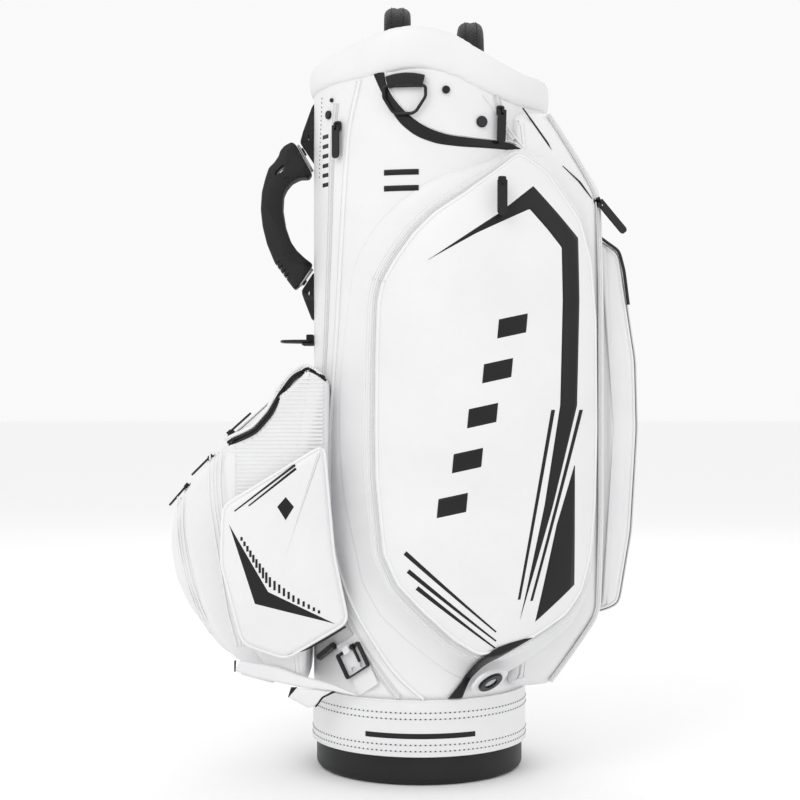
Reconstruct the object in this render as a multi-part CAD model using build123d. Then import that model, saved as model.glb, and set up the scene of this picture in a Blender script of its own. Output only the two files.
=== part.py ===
from build123d import *
from math import atan2, cos, degrees, hypot, radians, sin, sqrt
import os

# Golf staff bag standing upright. Millimetres, +Z up, origin at the centre of the base on the floor.
# -Y is the side with the buckle and the near apparel pocket, +X the garment pocket side,
# -X the spine side with the carry grip and the ball pockets.

# ---- clearances ----
GAP = 0.3
SLIDE_GAP = 0.25
PIN_GAP = 0.08

# ---- driving sizes: body tube ----
TUBE_RADIUS = 126.0
TUBE_WALL = 5.0
TUBE_TOP = 810.0
MOUTH_SHIFT = 12.0
MOUTH_NARROWER = 1.0
MOUTH_LONG = TUBE_RADIUS + MOUTH_SHIFT
MOUTH_SHORT = TUBE_RADIUS - MOUTH_NARROWER

# ---- driving sizes: base ----
BAND_PROUD = 1.0
BAND_RADIUS = TUBE_RADIUS + BAND_PROUD
CUP_INSET = 4.5
CUP_RADIUS = BAND_RADIUS - CUP_INSET
CUP_HEIGHT = 33.0
CUP_FLOOR = 12.0
CUP_EDGE = 8.0
SPIGOT_RADIUS = TUBE_RADIUS - TUBE_WALL - GAP
SPIGOT_WALL = 4.0
SPIGOT_RISE = 12.0
BAND_TOP = 98.0
BAND_EDGE = 2.2
PAD_THICKNESS = 5.0
GARMENT_DEPTH = 82.0

# Outlines below were drawn on this tube; drawn() moves them with the present one.
DRAWN_RADIUS = 126.0
DRAWN_LOW = 98.0
DRAWN_TOP = 810.0
DRAWN_GARMENT_DEPTH = 82.0


def drawn_x(x):
    """A place across the bag: a share of the tube's radius on the tube, a share of the garment
    pocket's depth outside it on that side, and the same distance from the tube on the other."""
    if abs(x) <= DRAWN_RADIUS:
        return x * TUBE_RADIUS / DRAWN_RADIUS
    if x > 0:
        return TUBE_RADIUS + (x - DRAWN_RADIUS) * GARMENT_DEPTH / DRAWN_GARMENT_DEPTH
    return x + DRAWN_RADIUS - TUBE_RADIUS


def drawn_z(z):
    """A height on the bag, moved with the band's top and the tube's top."""
    return BAND_TOP + (z - DRAWN_LOW) * (TUBE_TOP - BAND_TOP) / (DRAWN_TOP - DRAWN_LOW)


def drawn(points):
    return [(drawn_x(x), drawn_z(z)) for x, z in points]


# ---- driving sizes: collar, divider and handles ----
COLLAR_PROUD = 5.0
COLLAR_THICKNESS = 15.0
# Share of the way from the mouth's centre to the collar's side, and rise above the tube's top.
COLLAR_TOP_CURVE = [(-1.021, 14), (-0.566, 30), (-0.084, 41), (0.196, 35), (0.392, 18), (0.72, 1), (1.056, 2)]
COLLAR_SEAM_CURVE = [(-1.021, -17), (-0.566, -13), (-0.084, -5), (0.392, -29), (0.72, -43), (1.056, -36)]
RIM_WIDTH = 5.0
RIM_DEPTH = 15.0
RIM_BELOW_TOP = 10.0
RIM_TOP = TUBE_TOP - RIM_BELOW_TOP
BAR_WIDTH = 10.0
LONG_BARS_X = (-26.0, 59.0)
PANEL_THICKNESS = 2.0
ROD_RADIUS = 3.0
ROD_TOP_ROOM = 2.0
ROD_ANGLES = (90.0, 210.0, 330.0)
HANDLE_WIDTHS = (32.0, 30.0)
HANDLE_RISES = (97.0, 80.0)
HANDLE_THICKNESS = 24.0
HANDLE_SPAN = 176.0

# ---- driving sizes: pockets ----
GARMENT_FACE = TUBE_RADIUS + GARMENT_DEPTH
GARMENT_HALF_WIDTH = 95.0
GARMENT_EDGE = 22.0
SIDE_POCKET_DEPTH = 45.0
APPAREL_DEPTH = 50.0
APPAREL_MID_FRONT = TUBE_RADIUS + APPAREL_DEPTH
GUSSET_DEPTH = 20.0
APPAREL_SHOULDER = TUBE_RADIUS + GUSSET_DEPTH
BALL_INSETS = (22.0, 38.0, 54.0)
BALL_HALF_WIDTHS = tuple(TUBE_RADIUS - inset for inset in BALL_INSETS)
BALL_DEPTHS = (96.0, 136.0, 166.0)
BALL_STEPS = tuple(-TUBE_RADIUS - depth for depth in BALL_DEPTHS)
POUCH_DEPTH = 17.0

# ---- driving sizes: hardware ----
TAPE_WIDTH = 8.0
TAPE_THICKNESS = 1.5
SLIDER = (9.0, 11.0, 3.2)
LUG = (3.0, 6.0)
PIN_RADIUS = 1.2
PULL_WIDTH = 11.0
PULL_THICKNESS = 2.0
WIRE_RADIUS = 1.8
RING_WIDTH = 48.0
RING_DROP = 31.0
SPINE_RING_REACH = 34.0
SPINE_RING_WIDTH = 40.0
GRIP_MIDDLE = drawn_z(652.0)
GRIP_TO_RING = 148.0
SPINE_RING_Z = GRIP_MIDDLE - GRIP_TO_RING
GRIP_DEPTH = 29.0
GRIP_ROOM = 13.0
GRIP_AXIS_X = -TUBE_RADIUS - GRIP_ROOM
GRIP_END_RADIUS = 9.5
GRIP_PIN_RADIUS = 3.0
BUCKLE = (37.0, 31.0)
BUCKLE_BAR = 3.6
BELT_WIDTH = 30.0
BELT_THICKNESS = 2.4
STRAP_WIDTH = 40.0
STRAP_THICKNESS = 3.0
STRAP_PAD = (62.0, 10.0)

os.makedirs("parts", exist_ok=True)


def save(name, shape):
    """Write one node."""
    export_step(shape, f"parts/{name}.step")


def group(shapes):
    """Several separate solids as one node."""
    return Compound(children=list(shapes))


def tube_ellipse(z):
    """Centre, long and short half axes of the body's outer surface at height z, straight between ends."""
    share = (z - BAND_TOP) / (TUBE_TOP - BAND_TOP)
    centre = MOUTH_SHIFT * share
    long_half = TUBE_RADIUS + (MOUTH_LONG - TUBE_RADIUS) * share
    short_half = TUBE_RADIUS + (MOUTH_SHORT - TUBE_RADIUS) * share
    return centre, long_half, short_half


def tube_solid(grow, low, high):
    """The tube's outer form grown sideways by grow, between two heights."""
    faces = []
    for z in (low, high):
        centre, long_half, short_half = tube_ellipse(z)
        faces.append(Pos(centre, 0, z) * Ellipse(long_half + grow, short_half + grow))
    return loft(faces, ruled=True)


def tube_plane(x, z, side=-1, lift=0.0):
    """Plane on the tube at x and z on the near (-1) or far (+1) side: local y up the wall, z outwards."""
    centre, long_half, short_half = tube_ellipse(z)
    across = (x - centre) / long_half
    along = side * sqrt(1 - across**2)
    top = Vector(MOUTH_SHIFT + MOUTH_LONG * across, MOUTH_SHORT * along, TUBE_TOP)
    foot = Vector(TUBE_RADIUS * across, TUBE_RADIUS * along, BAND_TOP)
    upwards = (top - foot).normalized()
    round_wall = Vector(-long_half * along, short_half * across, 0)
    outwards = round_wall.cross(upwards).normalized()
    origin = Vector(x, short_half * along, z) + outwards * lift
    return Plane(origin=origin, x_dir=upwards.cross(outwards), z_dir=outwards)


def block_xz(points, near, far, radius=0.0):
    """Outline in X and Z, rounded by radius, carried along Y from near to far."""
    if radius:
        line = FilletPolyline(*points, radius=radius, close=True)
    else:
        line = Polyline(*points, close=True)
    return Pos(0, far, 0) * (Plane.XZ * extrude(make_face(line), far - near))


def mirrored(shape):
    """The same piece on the far side."""
    return mirror(shape, about=Plane.XZ)


# ---- base: cup, band and pad ----

def make_base_cup():
    foot = Cylinder(CUP_RADIUS, CUP_HEIGHT, align=(Align.CENTER, Align.CENTER, Align.MIN))
    foot = fillet(foot.edges().group_by(Axis.Z)[0], CUP_EDGE)
    spigot_height = BAND_TOP + SPIGOT_RISE
    spigot = Cylinder(SPIGOT_RADIUS, spigot_height, align=(Align.CENTER, Align.CENTER, Align.MIN))
    spigot &= Pos(0, 0, CUP_FLOOR) * Cylinder(
        CUP_RADIUS, spigot_height, align=(Align.CENTER, Align.CENTER, Align.MIN)
    )
    hollow = Pos(0, 0, CUP_FLOOR) * Cylinder(
        SPIGOT_RADIUS - SPIGOT_WALL, spigot_height, align=(Align.CENTER, Align.CENTER, Align.MIN)
    )
    return foot + spigot - hollow


def make_base_band():
    band = Pos(0, 0, CUP_HEIGHT) * Cylinder(
        BAND_RADIUS, BAND_TOP - CUP_HEIGHT, align=(Align.CENTER, Align.CENTER, Align.MIN)
    )
    band = fillet(band.edges().filter_by(GeomType.CIRCLE), BAND_EDGE)
    bore = Cylinder(SPIGOT_RADIUS + GAP, BAND_TOP * 2, align=(Align.CENTER, Align.CENTER, Align.MIN))
    return band - bore


def make_base_pad():
    return Pos(0, 0, CUP_FLOOR) * Cylinder(
        SPIGOT_RADIUS - SPIGOT_WALL - GAP, PAD_THICKNESS, align=(Align.CENTER, Align.CENTER, Align.MIN)
    )


# ---- body and collar ----

def collar_curve(points):
    """Points in X and Z on the collar, from shares of its half length and rises above the tube's top."""
    reach = MOUTH_LONG + COLLAR_PROUD
    return [(MOUTH_SHIFT + share * reach, TUBE_TOP + rise) for share, rise in points]


COLLAR_TOP = collar_curve(COLLAR_TOP_CURVE)
COLLAR_SEAM = collar_curve(COLLAR_SEAM_CURVE)
COLLAR_LOW = min(level for _, level in COLLAR_SEAM)
COLLAR_HIGH = max(level for _, level in COLLAR_TOP)


def saddle(points, low):
    """Everything between the level low and a smooth curve in X and Z, as a thick block."""
    top = Spline(*points)
    left = points[0]
    right = points[-1]
    rest = Polyline(right, (right[0], low), (left[0], low), left)
    half = MOUTH_SHORT * 2
    return Pos(0, half, 0) * (Plane.XZ * extrude(make_face(top + rest), 2 * half))


def collar_ellipse(outset, z0, z1):
    """Upright elliptic block, outset from the tube's mouth."""
    profile = Ellipse(MOUTH_LONG + outset, MOUTH_SHORT + outset)
    return Pos(MOUTH_SHIFT, 0, z0) * extrude(profile, z1 - z0)


def make_body_shell():
    outer = tube_solid(0, BAND_TOP, TUBE_TOP)
    inner = tube_solid(-TUBE_WALL, BAND_TOP, TUBE_TOP)
    lowered = [(x, z - GAP) for x, z in COLLAR_SEAM]
    return (outer - inner) & saddle(lowered, BAND_TOP)


def make_top_collar():
    low = COLLAR_LOW - RIM_DEPTH
    ring = collar_ellipse(COLLAR_PROUD, low, COLLAR_HIGH)
    ring -= collar_ellipse(COLLAR_PROUD - COLLAR_THICKNESS, low, COLLAR_HIGH)
    return (ring & saddle(COLLAR_TOP, low)) - saddle(COLLAR_SEAM, low)


# ---- divider, panels, rods and lift handles ----

RIM_OUTSET = COLLAR_PROUD - COLLAR_THICKNESS - GAP
RIM_BOTTOM = RIM_TOP - RIM_DEPTH


def make_divider_rim():
    ring = collar_ellipse(RIM_OUTSET, RIM_BOTTOM, RIM_TOP)
    return ring - collar_ellipse(RIM_OUTSET - RIM_WIDTH, RIM_BOTTOM, RIM_TOP)


def inside_rim(shape):
    return shape & collar_ellipse(RIM_OUTSET - RIM_WIDTH, RIM_BOTTOM, RIM_TOP)


def make_long_bars():
    blank = Box(BAR_WIDTH, MOUTH_SHORT * 2, RIM_DEPTH)
    middle = RIM_TOP - RIM_DEPTH / 2
    return group([inside_rim(Pos(x, 0, middle) * blank) for x in LONG_BARS_X])


def cross_spans(left, right, width):
    """X ranges of the three crosswise pieces, between the long ones of the given width."""
    edges = [left]
    for x in LONG_BARS_X:
        edges += [x - width / 2, x + width / 2]
    edges.append(right)
    return list(zip(edges[::2], edges[1::2]))


def make_cross_bars():
    bars = []
    reach = MOUTH_LONG * 2
    for start, end in cross_spans(-reach, reach, BAR_WIDTH):
        blank = Box(end - start, BAR_WIDTH, RIM_DEPTH)
        bars.append(inside_rim(Pos((start + end) / 2, 0, RIM_TOP - RIM_DEPTH / 2) * blank))
    return group(bars)


PANEL_FLOOR = CUP_FLOOR + PAD_THICKNESS
PANEL_HEIGHT = RIM_BOTTOM - PANEL_FLOOR
WELL_RADIUS = SPIGOT_RADIUS - SPIGOT_WALL
PANEL_ROOM = 0.7
PANEL_HALF_WIDTH = sqrt(WELL_RADIUS**2 - max(abs(x) for x in LONG_BARS_X) ** 2) - PANEL_ROOM
PANEL_LEFT = -WELL_RADIUS + 8.7
PANEL_RIGHT = WELL_RADIUS - 4.7


def make_long_panels():
    blank = Box(PANEL_THICKNESS, 2 * PANEL_HALF_WIDTH, PANEL_HEIGHT)
    return group([Pos(x, 0, PANEL_FLOOR + PANEL_HEIGHT / 2) * blank for x in LONG_BARS_X])


def make_cross_panels():
    panels = []
    for start, end in cross_spans(PANEL_LEFT, PANEL_RIGHT, PANEL_THICKNESS):
        blank = Box(end - start, PANEL_THICKNESS, PANEL_HEIGHT)
        panels.append(Pos((start + end) / 2, 0, PANEL_FLOOR + PANEL_HEIGHT / 2) * blank)
    return group(panels)


def make_stay_rods():
    rods = []
    for angle in ROD_ANGLES:
        ends = []
        for z in (BAND_TOP + SPIGOT_RISE + GAP, COLLAR_LOW - ROD_TOP_ROOM):
            centre, long_half, short_half = tube_ellipse(z)
            inset = TUBE_WALL + ROD_RADIUS + GAP
            x = centre + (long_half - inset) * cos(radians(angle))
            ends.append(Vector(x, (short_half - inset) * sin(radians(angle)), z))
        along = ends[1] - ends[0]
        foot = Plane(origin=ends[0], z_dir=along)
        rods.append(extrude(foot * Circle(ROD_RADIUS), along.length))
    return group(rods)


def make_lift_handle(x, width, rise):
    half = HANDLE_SPAN / 2
    crown = RIM_TOP + rise - HANDLE_THICKNESS / 2
    path = FilletPolyline((-half, RIM_TOP), (-half * 0.86, crown), (half * 0.86, crown), (half, RIM_TOP), radius=34)
    path = Pos(x, 0, 0) * (Plane.YZ * path)
    section = Pos(x, -half, RIM_TOP) * Ellipse(width / 2, HANDLE_THICKNESS / 2)
    arch = sweep(section, path=path)
    above = Pos(x, 0, RIM_TOP) * Box(
        width * 2, HANDLE_SPAN * 2, rise * 2, align=(Align.CENTER, Align.CENTER, Align.MIN)
    )
    return arch & above


# ---- pockets ----

GARMENT_SHOULDER = TUBE_RADIUS + 26.0
GARMENT_INSIDE = TUBE_RADIUS - 26.0
GARMENT_OUTLINE = [
    (GARMENT_INSIDE, drawn_z(104)), (GARMENT_SHOULDER, drawn_z(108)), (GARMENT_FACE, drawn_z(190)),
    (GARMENT_FACE, drawn_z(672)), (GARMENT_SHOULDER, drawn_z(764)), (GARMENT_INSIDE, drawn_z(764)),
]
APPAREL_FRONT = drawn([
    (-46, 575), (108, 703), (144, 686), (187, 598), (194, 420), (188, 255), (150, 185), (68, 151), (-36, 245)
])
APPAREL_BASE = drawn([
    (-86, 676), (70, 735), (148, 719), (193, 640), (196, 420), (193, 225), (157, 150), (60, 101), (-94, 225)
])
APPAREL_BASE_Y = -60.0
CHEVRON_POUCH = drawn([
    (-109, 383), (-222, 314), (-224, 250), (-200, 160), (-152, 143), (-82, 184), (-98, 260)
])


def make_garment_pocket():
    block = block_xz(GARMENT_OUTLINE, -GARMENT_HALF_WIDTH, GARMENT_HALF_WIDTH)
    corners = block.edges().filter_by(Axis.Z).filter_by_position(Axis.X, GARMENT_FACE - 1, GARMENT_FACE + 1)
    block = fillet(corners, GARMENT_EDGE)
    return block - tube_solid(GAP, BAND_TOP, TUBE_TOP)


def make_side_pocket():
    face = GARMENT_FACE
    proud = face + SIDE_POCKET_DEPTH
    profile = [
        (face, 186), (face, 622), (face + 24, 606), (proud - 2, 480), (proud, 400), (proud - 7, 280), (face + 24, 196)
    ]
    outline = [(x, drawn_z(z)) for x, z in profile]
    block = block_xz(outline, -58, GARMENT_HALF_WIDTH - GARMENT_EDGE)
    return fillet(block.edges().filter_by_position(Axis.X, proud - 2.5, proud + 1).filter_by(Plane.XZ), 10)


def apparel_plan():
    """Plan view of the near apparel pocket: a crowned front that falls away to the right."""
    left, right = drawn_x(-110), drawn_x(225)
    left_front, right_front = -TUBE_RADIUS + 8, -TUBE_RADIUS + 30
    crown = ThreePointArc((left, left_front), (drawn_x(60), -APPAREL_MID_FRONT), (right, right_front))
    back = Polyline(
        (right, right_front), (right, APPAREL_BASE_Y), (left, APPAREL_BASE_Y), (left, left_front)
    )
    return extrude(make_face(crown + back), TUBE_TOP)


def make_apparel_pocket(garment):
    base = Pos(0, APPAREL_BASE_Y, 0) * (Plane.XZ * make_face(Polyline(*APPAREL_BASE, close=True)))
    shoulder = Pos(0, -APPAREL_SHOULDER, 0) * (Plane.XZ * make_face(Polyline(*APPAREL_FRONT, close=True)))
    gusset = loft([base, shoulder], ruled=True)
    face = block_xz(APPAREL_FRONT, -MOUTH_LONG * 1.5, -APPAREL_SHOULDER)
    pocket = (gusset + face) & apparel_plan()
    pocket -= tube_solid(GAP, BAND_TOP, TUBE_TOP)
    return pocket - garment


def ball_outline(step):
    """X and Z outline of one of the three nested ball pockets, from the spine outwards."""
    spine = -TUBE_RADIUS
    inner, middle, outer = BALL_STEPS
    outlines = (
        [
            (spine + 22, 455), (spine, 474), (spine - 36, 440), (inner, 386), (inner, 133),
            (spine - 39, 112), (spine - 6, 104), (spine - 1, 182), (spine + 20, 216),
        ],
        [(inner, 384), (middle, 344), (middle, 160), ((inner + middle) / 2, 138), (inner, 131)],
        [(middle, 340), (middle - 19, 318), (outer, 284), (outer, 236), (outer + 8, 196), (middle, 164)],
    )
    return [(x, drawn_z(z)) for x, z in outlines[step]]


def make_ball_pocket(step):
    half = BALL_HALF_WIDTHS[step]
    block = block_xz(ball_outline(step), -half, half)
    return block - tube_solid(GAP, BAND_TOP, TUBE_TOP)


def make_pouch():
    depth = BALL_HALF_WIDTHS[0]
    pouch = block_xz(CHEVRON_POUCH, -depth - POUCH_DEPTH, -depth, radius=14)
    front = pouch.faces().sort_by(Axis.Y)[0]
    pouch = fillet(front.edges(), 6)
    return pouch - tube_solid(GAP, BAND_TOP, TUBE_TOP)


# ---- zips: tape, slider and pull ----

def zip_frame(origin, outwards, pull_way):
    """Plane on a zip: local z outwards, local y against the way that the pull points."""
    outwards = Vector(*outwards).normalized()
    pull_way = Vector(*pull_way)
    upwards = (outwards * outwards.dot(pull_way) - pull_way).normalized()
    return Plane(origin=Vector(*origin), x_dir=upwards.cross(outwards), z_dir=outwards)


def make_tape(frame, along_x, start, end, depth):
    """Straight stretch of zip tape, its top on the frame's plane, along local x or local y."""
    length = end - start
    size = (length, TAPE_WIDTH) if along_x else (TAPE_WIDTH, length)
    middle = (start + end) / 2
    place = (middle, 0) if along_x else (0, middle)
    return frame.location * Pos(place[0], place[1], -depth / 2) * Box(size[0], size[1], depth)


PIN_HEIGHT = SLIDE_GAP + SLIDER[2] + PULL_THICKNESS / 2 + 0.5


def make_slider(frame):
    """Zip slider with the lug that carries the pull's pin."""
    plate = Pos(0, 0, SLIDE_GAP) * Box(*SLIDER, align=(Align.CENTER, Align.CENTER, Align.MIN))
    plate = fillet(plate.edges().filter_by(Axis.Z), 2)
    lug_height = PIN_HEIGHT + PIN_RADIUS + PIN_GAP + 0.9
    lug = Box(LUG[0], LUG[1], lug_height - SLIDE_GAP, align=(Align.CENTER, Align.CENTER, Align.MIN))
    slider = plate + Pos(0, 0, SLIDE_GAP) * lug
    bore = Pos(0, 0, PIN_HEIGHT) * Rot(0, 90, 0) * Cylinder(PIN_RADIUS + PIN_GAP, SLIDER[0] * 2)
    return frame.location * (slider - bore)


def make_pull(frame, length, rest_angle=0.0):
    """Pull: pin, two cheeks beside the lug and a rounded plate, turned outwards by rest_angle."""
    cheek_gap = LUG[0] / 2 + GAP
    cheek_width = PULL_WIDTH / 2 - cheek_gap
    clear_lug = LUG[1] / 2 + 2.0
    pin = Rot(0, 90, 0) * Cylinder(PIN_RADIUS, PULL_WIDTH)
    plate = Pos(0, -length / 2 + PULL_THICKNESS / 2, 0) * Box(PULL_WIDTH, length, PULL_THICKNESS)
    slot = Pos(0, -clear_lug / 2 + PULL_THICKNESS, 0) * Box(
        PULL_WIDTH - 2 * cheek_width, clear_lug + 2 * PULL_THICKNESS, PULL_THICKNESS * 2
    )
    plate -= slot
    low = plate.edges().filter_by(Axis.Z).sort_by(Axis.Y)[:2]
    plate = fillet(low, PULL_WIDTH / 2 - 1)
    pull = Rot(-rest_angle, 0, 0) * (plate + pin)
    return frame.location * Pos(0, 0, PIN_HEIGHT) * pull


TUBE_LIFT = TAPE_THICKNESS + 0.15
BODY_ZIP = tube_plane(drawn_x(-92), TUBE_TOP - 62, lift=TUBE_LIFT)
UPPER_ZIP = tube_plane(drawn_x(89), TUBE_TOP - 48, lift=TUBE_LIFT)
APPAREL_PLACE = (drawn_x(88), -APPAREL_MID_FRONT - 0.5, drawn_z(672))
APPAREL_ZIP = zip_frame(APPAREL_PLACE, (0.04, -1, 0), (0, 0, -1))
APPAREL_TAPE = zip_frame(APPAREL_PLACE, (0.04, -1, 0), (-0.846, 0, -0.533))
CORNER = GARMENT_EDGE * (1 - sqrt(0.5)) - 0.3
GARMENT_CORNER = (GARMENT_FACE - CORNER, -GARMENT_HALF_WIDTH + CORNER, drawn_z(660))
GARMENT_ZIP = zip_frame(GARMENT_CORNER, (1, -1, 0), (0.45, 0.45, -1))
GARMENT_TAPE = zip_frame(GARMENT_CORNER, (1, -1, 0), (0, 0, -1))


def ball_zip(step, corner, share, y, uphill=False):
    """Zip on the sloping top of a ball pocket, a share of the way down from one corner to the next."""
    (x0, z0), (x1, z1) = ball_outline(step)[corner:corner + 2]
    down = Vector(x1 - x0, 0, z1 - z0).normalized()
    outwards = Vector(down.Z, 0, -down.X)
    place = Vector(x0 + (x1 - x0) * share, y, z0 + (z1 - z0) * share) + outwards * ZIP_LIFT
    return zip_frame((place.X, place.Y, place.Z), (outwards.X, 0, outwards.Z), down * (-1 if uphill else 1))


ZIP_LIFT = 0.3
BALL_INNER_ZIP = ball_zip(0, 2, 0.866, -BALL_HALF_WIDTHS[0] + 9, uphill=True)
BALL_MIDDLE_ZIP = ball_zip(1, 0, 0.5, -40)
BALL_OUTER_ZIP = ball_zip(2, 0, 0.47, -30)


# ---- rings, grip, buckle and small hardware ----

def make_ring(frame, width, drop, rest_angle):
    """Wire D ring whose straight bar lies on the frame's x axis, turned outwards by rest_angle."""
    half = width / 2
    path = FilletPolyline(
        (-half, 0), (half, 0), (half, -drop * 0.4), (half * 0.5, -drop), (-half * 0.5, -drop), (-half, -drop * 0.4),
        radius=(4, 4, 8, 10, 10, 8),
        close=True,
    )
    ring = sweep(Plane(origin=path @ 0, z_dir=path % 0) * Circle(WIRE_RADIUS), path=path)
    return frame.location * Rot(-rest_angle, 0, 0) * ring


RING_LIFT = WIRE_RADIUS + 2.8
TOP_RING = tube_plane(drawn_x(-17), TUBE_TOP - 24, lift=RING_LIFT)
SPINE_RING = Plane(origin=(-TUBE_RADIUS - RING_LIFT, 0, SPINE_RING_Z), x_dir=(0, -1, 0), z_dir=(-1, 0, 0))


def make_ring_tab(frame, width, height):
    """Folded tab that wraps the ring's straight bar."""
    depth = 2 * RING_LIFT - GAP
    tab = Pos(0, height / 2 - WIRE_RADIUS - 2, -GAP / 2) * Box(width, height, depth)
    tab = fillet(tab.edges().filter_by(Axis.X), 1.5)
    return frame.location * (tab - Rot(0, 90, 0) * Cylinder(WIRE_RADIUS + PIN_GAP, width * 2))


def make_spine_tab():
    """Folded tab with a stiff shelf under the ring, which holds the ring level."""
    tab = make_ring_tab(Plane.XY, SPINE_RING_WIDTH - 16, 12)
    shelf_depth = 2 * RING_LIFT + 4
    shelf = Pos(0, -WIRE_RADIUS - GAP, GAP - RING_LIFT) * Box(
        SPINE_RING_WIDTH + 4, 2.5, shelf_depth, align=(Align.CENTER, Align.MAX, Align.MIN)
    )
    return SPINE_RING.location * (tab + shelf)


# The grip's outline, from its turning axis in X and from its middle in Z.
GRIP_PROFILE = [
    (-3, 54), (-3, 66), (-10, 74), (-15, 89), (-29, 75), (-41, 56), (-51, 23), (-51, 1),
    (-45, -28), (-33, -55), (-13, -86), (-10, -75), (-3, -66), (-3, -51), (-19, -20), (-25, 8),
    (-18, 34),
]
GRIP_OUTLINE = [(GRIP_AXIS_X + x, GRIP_MIDDLE + z) for x, z in GRIP_PROFILE]
GRIP_HALF = 75.0
GRIP_END_LENGTH = 25.0
GRIP_TOP = GRIP_MIDDLE + GRIP_HALF
GRIP_BOTTOM = GRIP_MIDDLE - GRIP_HALF
GRIP_PIN_LENGTH = 12.0


def upright(x, low, high, radius):
    """Vertical cylinder on the spine's middle plane."""
    height = high - low
    return Pos(x, 0, low) * Cylinder(radius, height, align=(Align.CENTER, Align.CENTER, Align.MIN))


def make_carry_grip():
    grip = block_xz(GRIP_OUTLINE, -GRIP_DEPTH / 2, GRIP_DEPTH / 2)
    grip = fillet(grip.edges().filter_by(Axis.Y).filter_by_position(Axis.X, GRIP_AXIS_X - 56, GRIP_AXIS_X - 11), 2.5)
    grip += upright(GRIP_AXIS_X, GRIP_TOP - GRIP_END_LENGTH, GRIP_TOP, GRIP_END_RADIUS)
    grip += upright(GRIP_AXIS_X, GRIP_BOTTOM, GRIP_BOTTOM + GRIP_END_LENGTH + 1, GRIP_END_RADIUS)
    grip += upright(GRIP_AXIS_X, GRIP_TOP, GRIP_TOP + GRIP_PIN_LENGTH, GRIP_PIN_RADIUS)
    grip += upright(GRIP_AXIS_X, GRIP_BOTTOM - GRIP_PIN_LENGTH, GRIP_BOTTOM, GRIP_PIN_RADIUS)
    grip -= Pos(GRIP_AXIS_X - 27, 0, GRIP_MIDDLE + 56) * Box(9, GRIP_DEPTH * 2, 11)
    for step in range(4):
        share = step / 3
        notch = Pos(GRIP_AXIS_X - 32 + 13 * share, 0, GRIP_MIDDLE - 60 - 18 * share)
        grip -= notch * Rot(0, 34, 0) * Box(7, GRIP_DEPTH * 2, 2.6)
    return grip


def make_grip_webbing():
    """The two anchors sewn to the spine that hold the grip's pins."""
    back = -TUBE_RADIUS - GAP
    front = GRIP_AXIS_X - GRIP_PIN_RADIUS - 3.5
    top = GRIP_TOP + GAP
    low = GRIP_BOTTOM - GAP
    upper = [(back, top), (front, top), (front, top + 14), (back - 6, top + 62), (back, top + 62)]
    lower = [(back, low), (front, low), (front, low - 14), (back - 4, low - 48), (back, low - 48)]
    bore = upright(GRIP_AXIS_X, low - GRIP_PIN_LENGTH - 1, top + GRIP_PIN_LENGTH + 1, GRIP_PIN_RADIUS + PIN_GAP)
    return group([block_xz(outline, -7, 7) - bore for outline in (upper, lower)])


def turned(frame, angle):
    """The same plane turned about its own normal."""
    return Plane(
        origin=frame.origin,
        x_dir=frame.x_dir * cos(radians(angle)) + frame.y_dir * sin(radians(angle)),
        z_dir=frame.z_dir,
    )


BUCKLE_TILT = 32.0
BUCKLE_PLANE = turned(tube_plane(drawn_x(-73), BAND_TOP + 41, lift=0.15), BUCKLE_TILT)
KEEPER_PLANE = turned(tube_plane(drawn_x(-73) - 21, BAND_TOP + 27, lift=0.15), BUCKLE_TILT)
BAR_Y = BUCKLE[1] / 2 - BUCKLE_BAR / 2
PRONG_WALL = 1.3
BAR_Z = BELT_THICKNESS + BUCKLE_BAR / 2 + PRONG_WALL + GAP


def make_buckle_belt():
    belt = Pos(0, -6, BELT_THICKNESS / 2) * Box(BELT_WIDTH, 62, BELT_THICKNESS)
    for x in (-7, 7):
        belt -= Pos(x, -9, 0) * Cylinder(3.6, 4 * BELT_THICKNESS)
    loop = Pos(0, BAR_Y, BELT_THICKNESS) * Box(
        9, 8, 2 * (BAR_Z - BELT_THICKNESS) + 1.2, align=(Align.CENTER, Align.CENTER, Align.MIN)
    )
    bore = Pos(0, BAR_Y, BAR_Z) * Rot(0, 90, 0) * Cylinder(BUCKLE_BAR / 2 + PIN_GAP, BELT_WIDTH)
    return BUCKLE_PLANE.location * (belt + loop - bore)


def make_buckle_frame():
    """Open frame: three square sides and a round bar for the hinge."""
    outer = Box(BUCKLE[0], BUCKLE[1], BUCKLE_BAR)
    outer = fillet(outer.edges().filter_by(Axis.Z), 3)
    window = Pos(0, BUCKLE_BAR / 2, 0) * Box(BUCKLE[0] - 2 * BUCKLE_BAR, BUCKLE[1], BUCKLE_BAR * 2)
    bar = Pos(0, BAR_Y, 0) * Rot(0, 90, 0) * Cylinder(BUCKLE_BAR / 2, BUCKLE[0] - BUCKLE_BAR)
    return BUCKLE_PLANE.location * Pos(0, 0, BAR_Z) * (outer - window + bar)


def make_buckle_prong():
    """Prong with an eye round the bar, resting across the frame's window."""
    eye = Pos(8, BAR_Y, 0) * Rot(0, 90, 0) * (
        Cylinder(BUCKLE_BAR / 2 + PRONG_WALL, 4) - Cylinder(BUCKLE_BAR / 2 + PIN_GAP, 8)
    )
    low_y = BAR_Y - BUCKLE_BAR / 2 - 0.6
    arm = Pos(8, low_y, 0) * Box(3, 17, 2, align=(Align.CENTER, Align.MAX, Align.CENTER))
    return BUCKLE_PLANE.location * Pos(0, 0, BAR_Z) * (eye + arm)


def make_buckle_keeper():
    """Rolled keeper beside the buckle."""
    roll = Rot(0, 90, 0) * Cylinder(4.5, 32)
    return KEEPER_PLANE.location * Pos(-2, 24, 5.5) * fillet(roll.edges(), 1.2)


EYELET_PLANE = zip_frame((drawn_x(78), -TUBE_RADIUS + 2, drawn_z(118)), (0.457, -0.545, -0.703), (0, 0, -1))
EYELET_OUTER = 15.0
EYELET_INNER = 8.0


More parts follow.
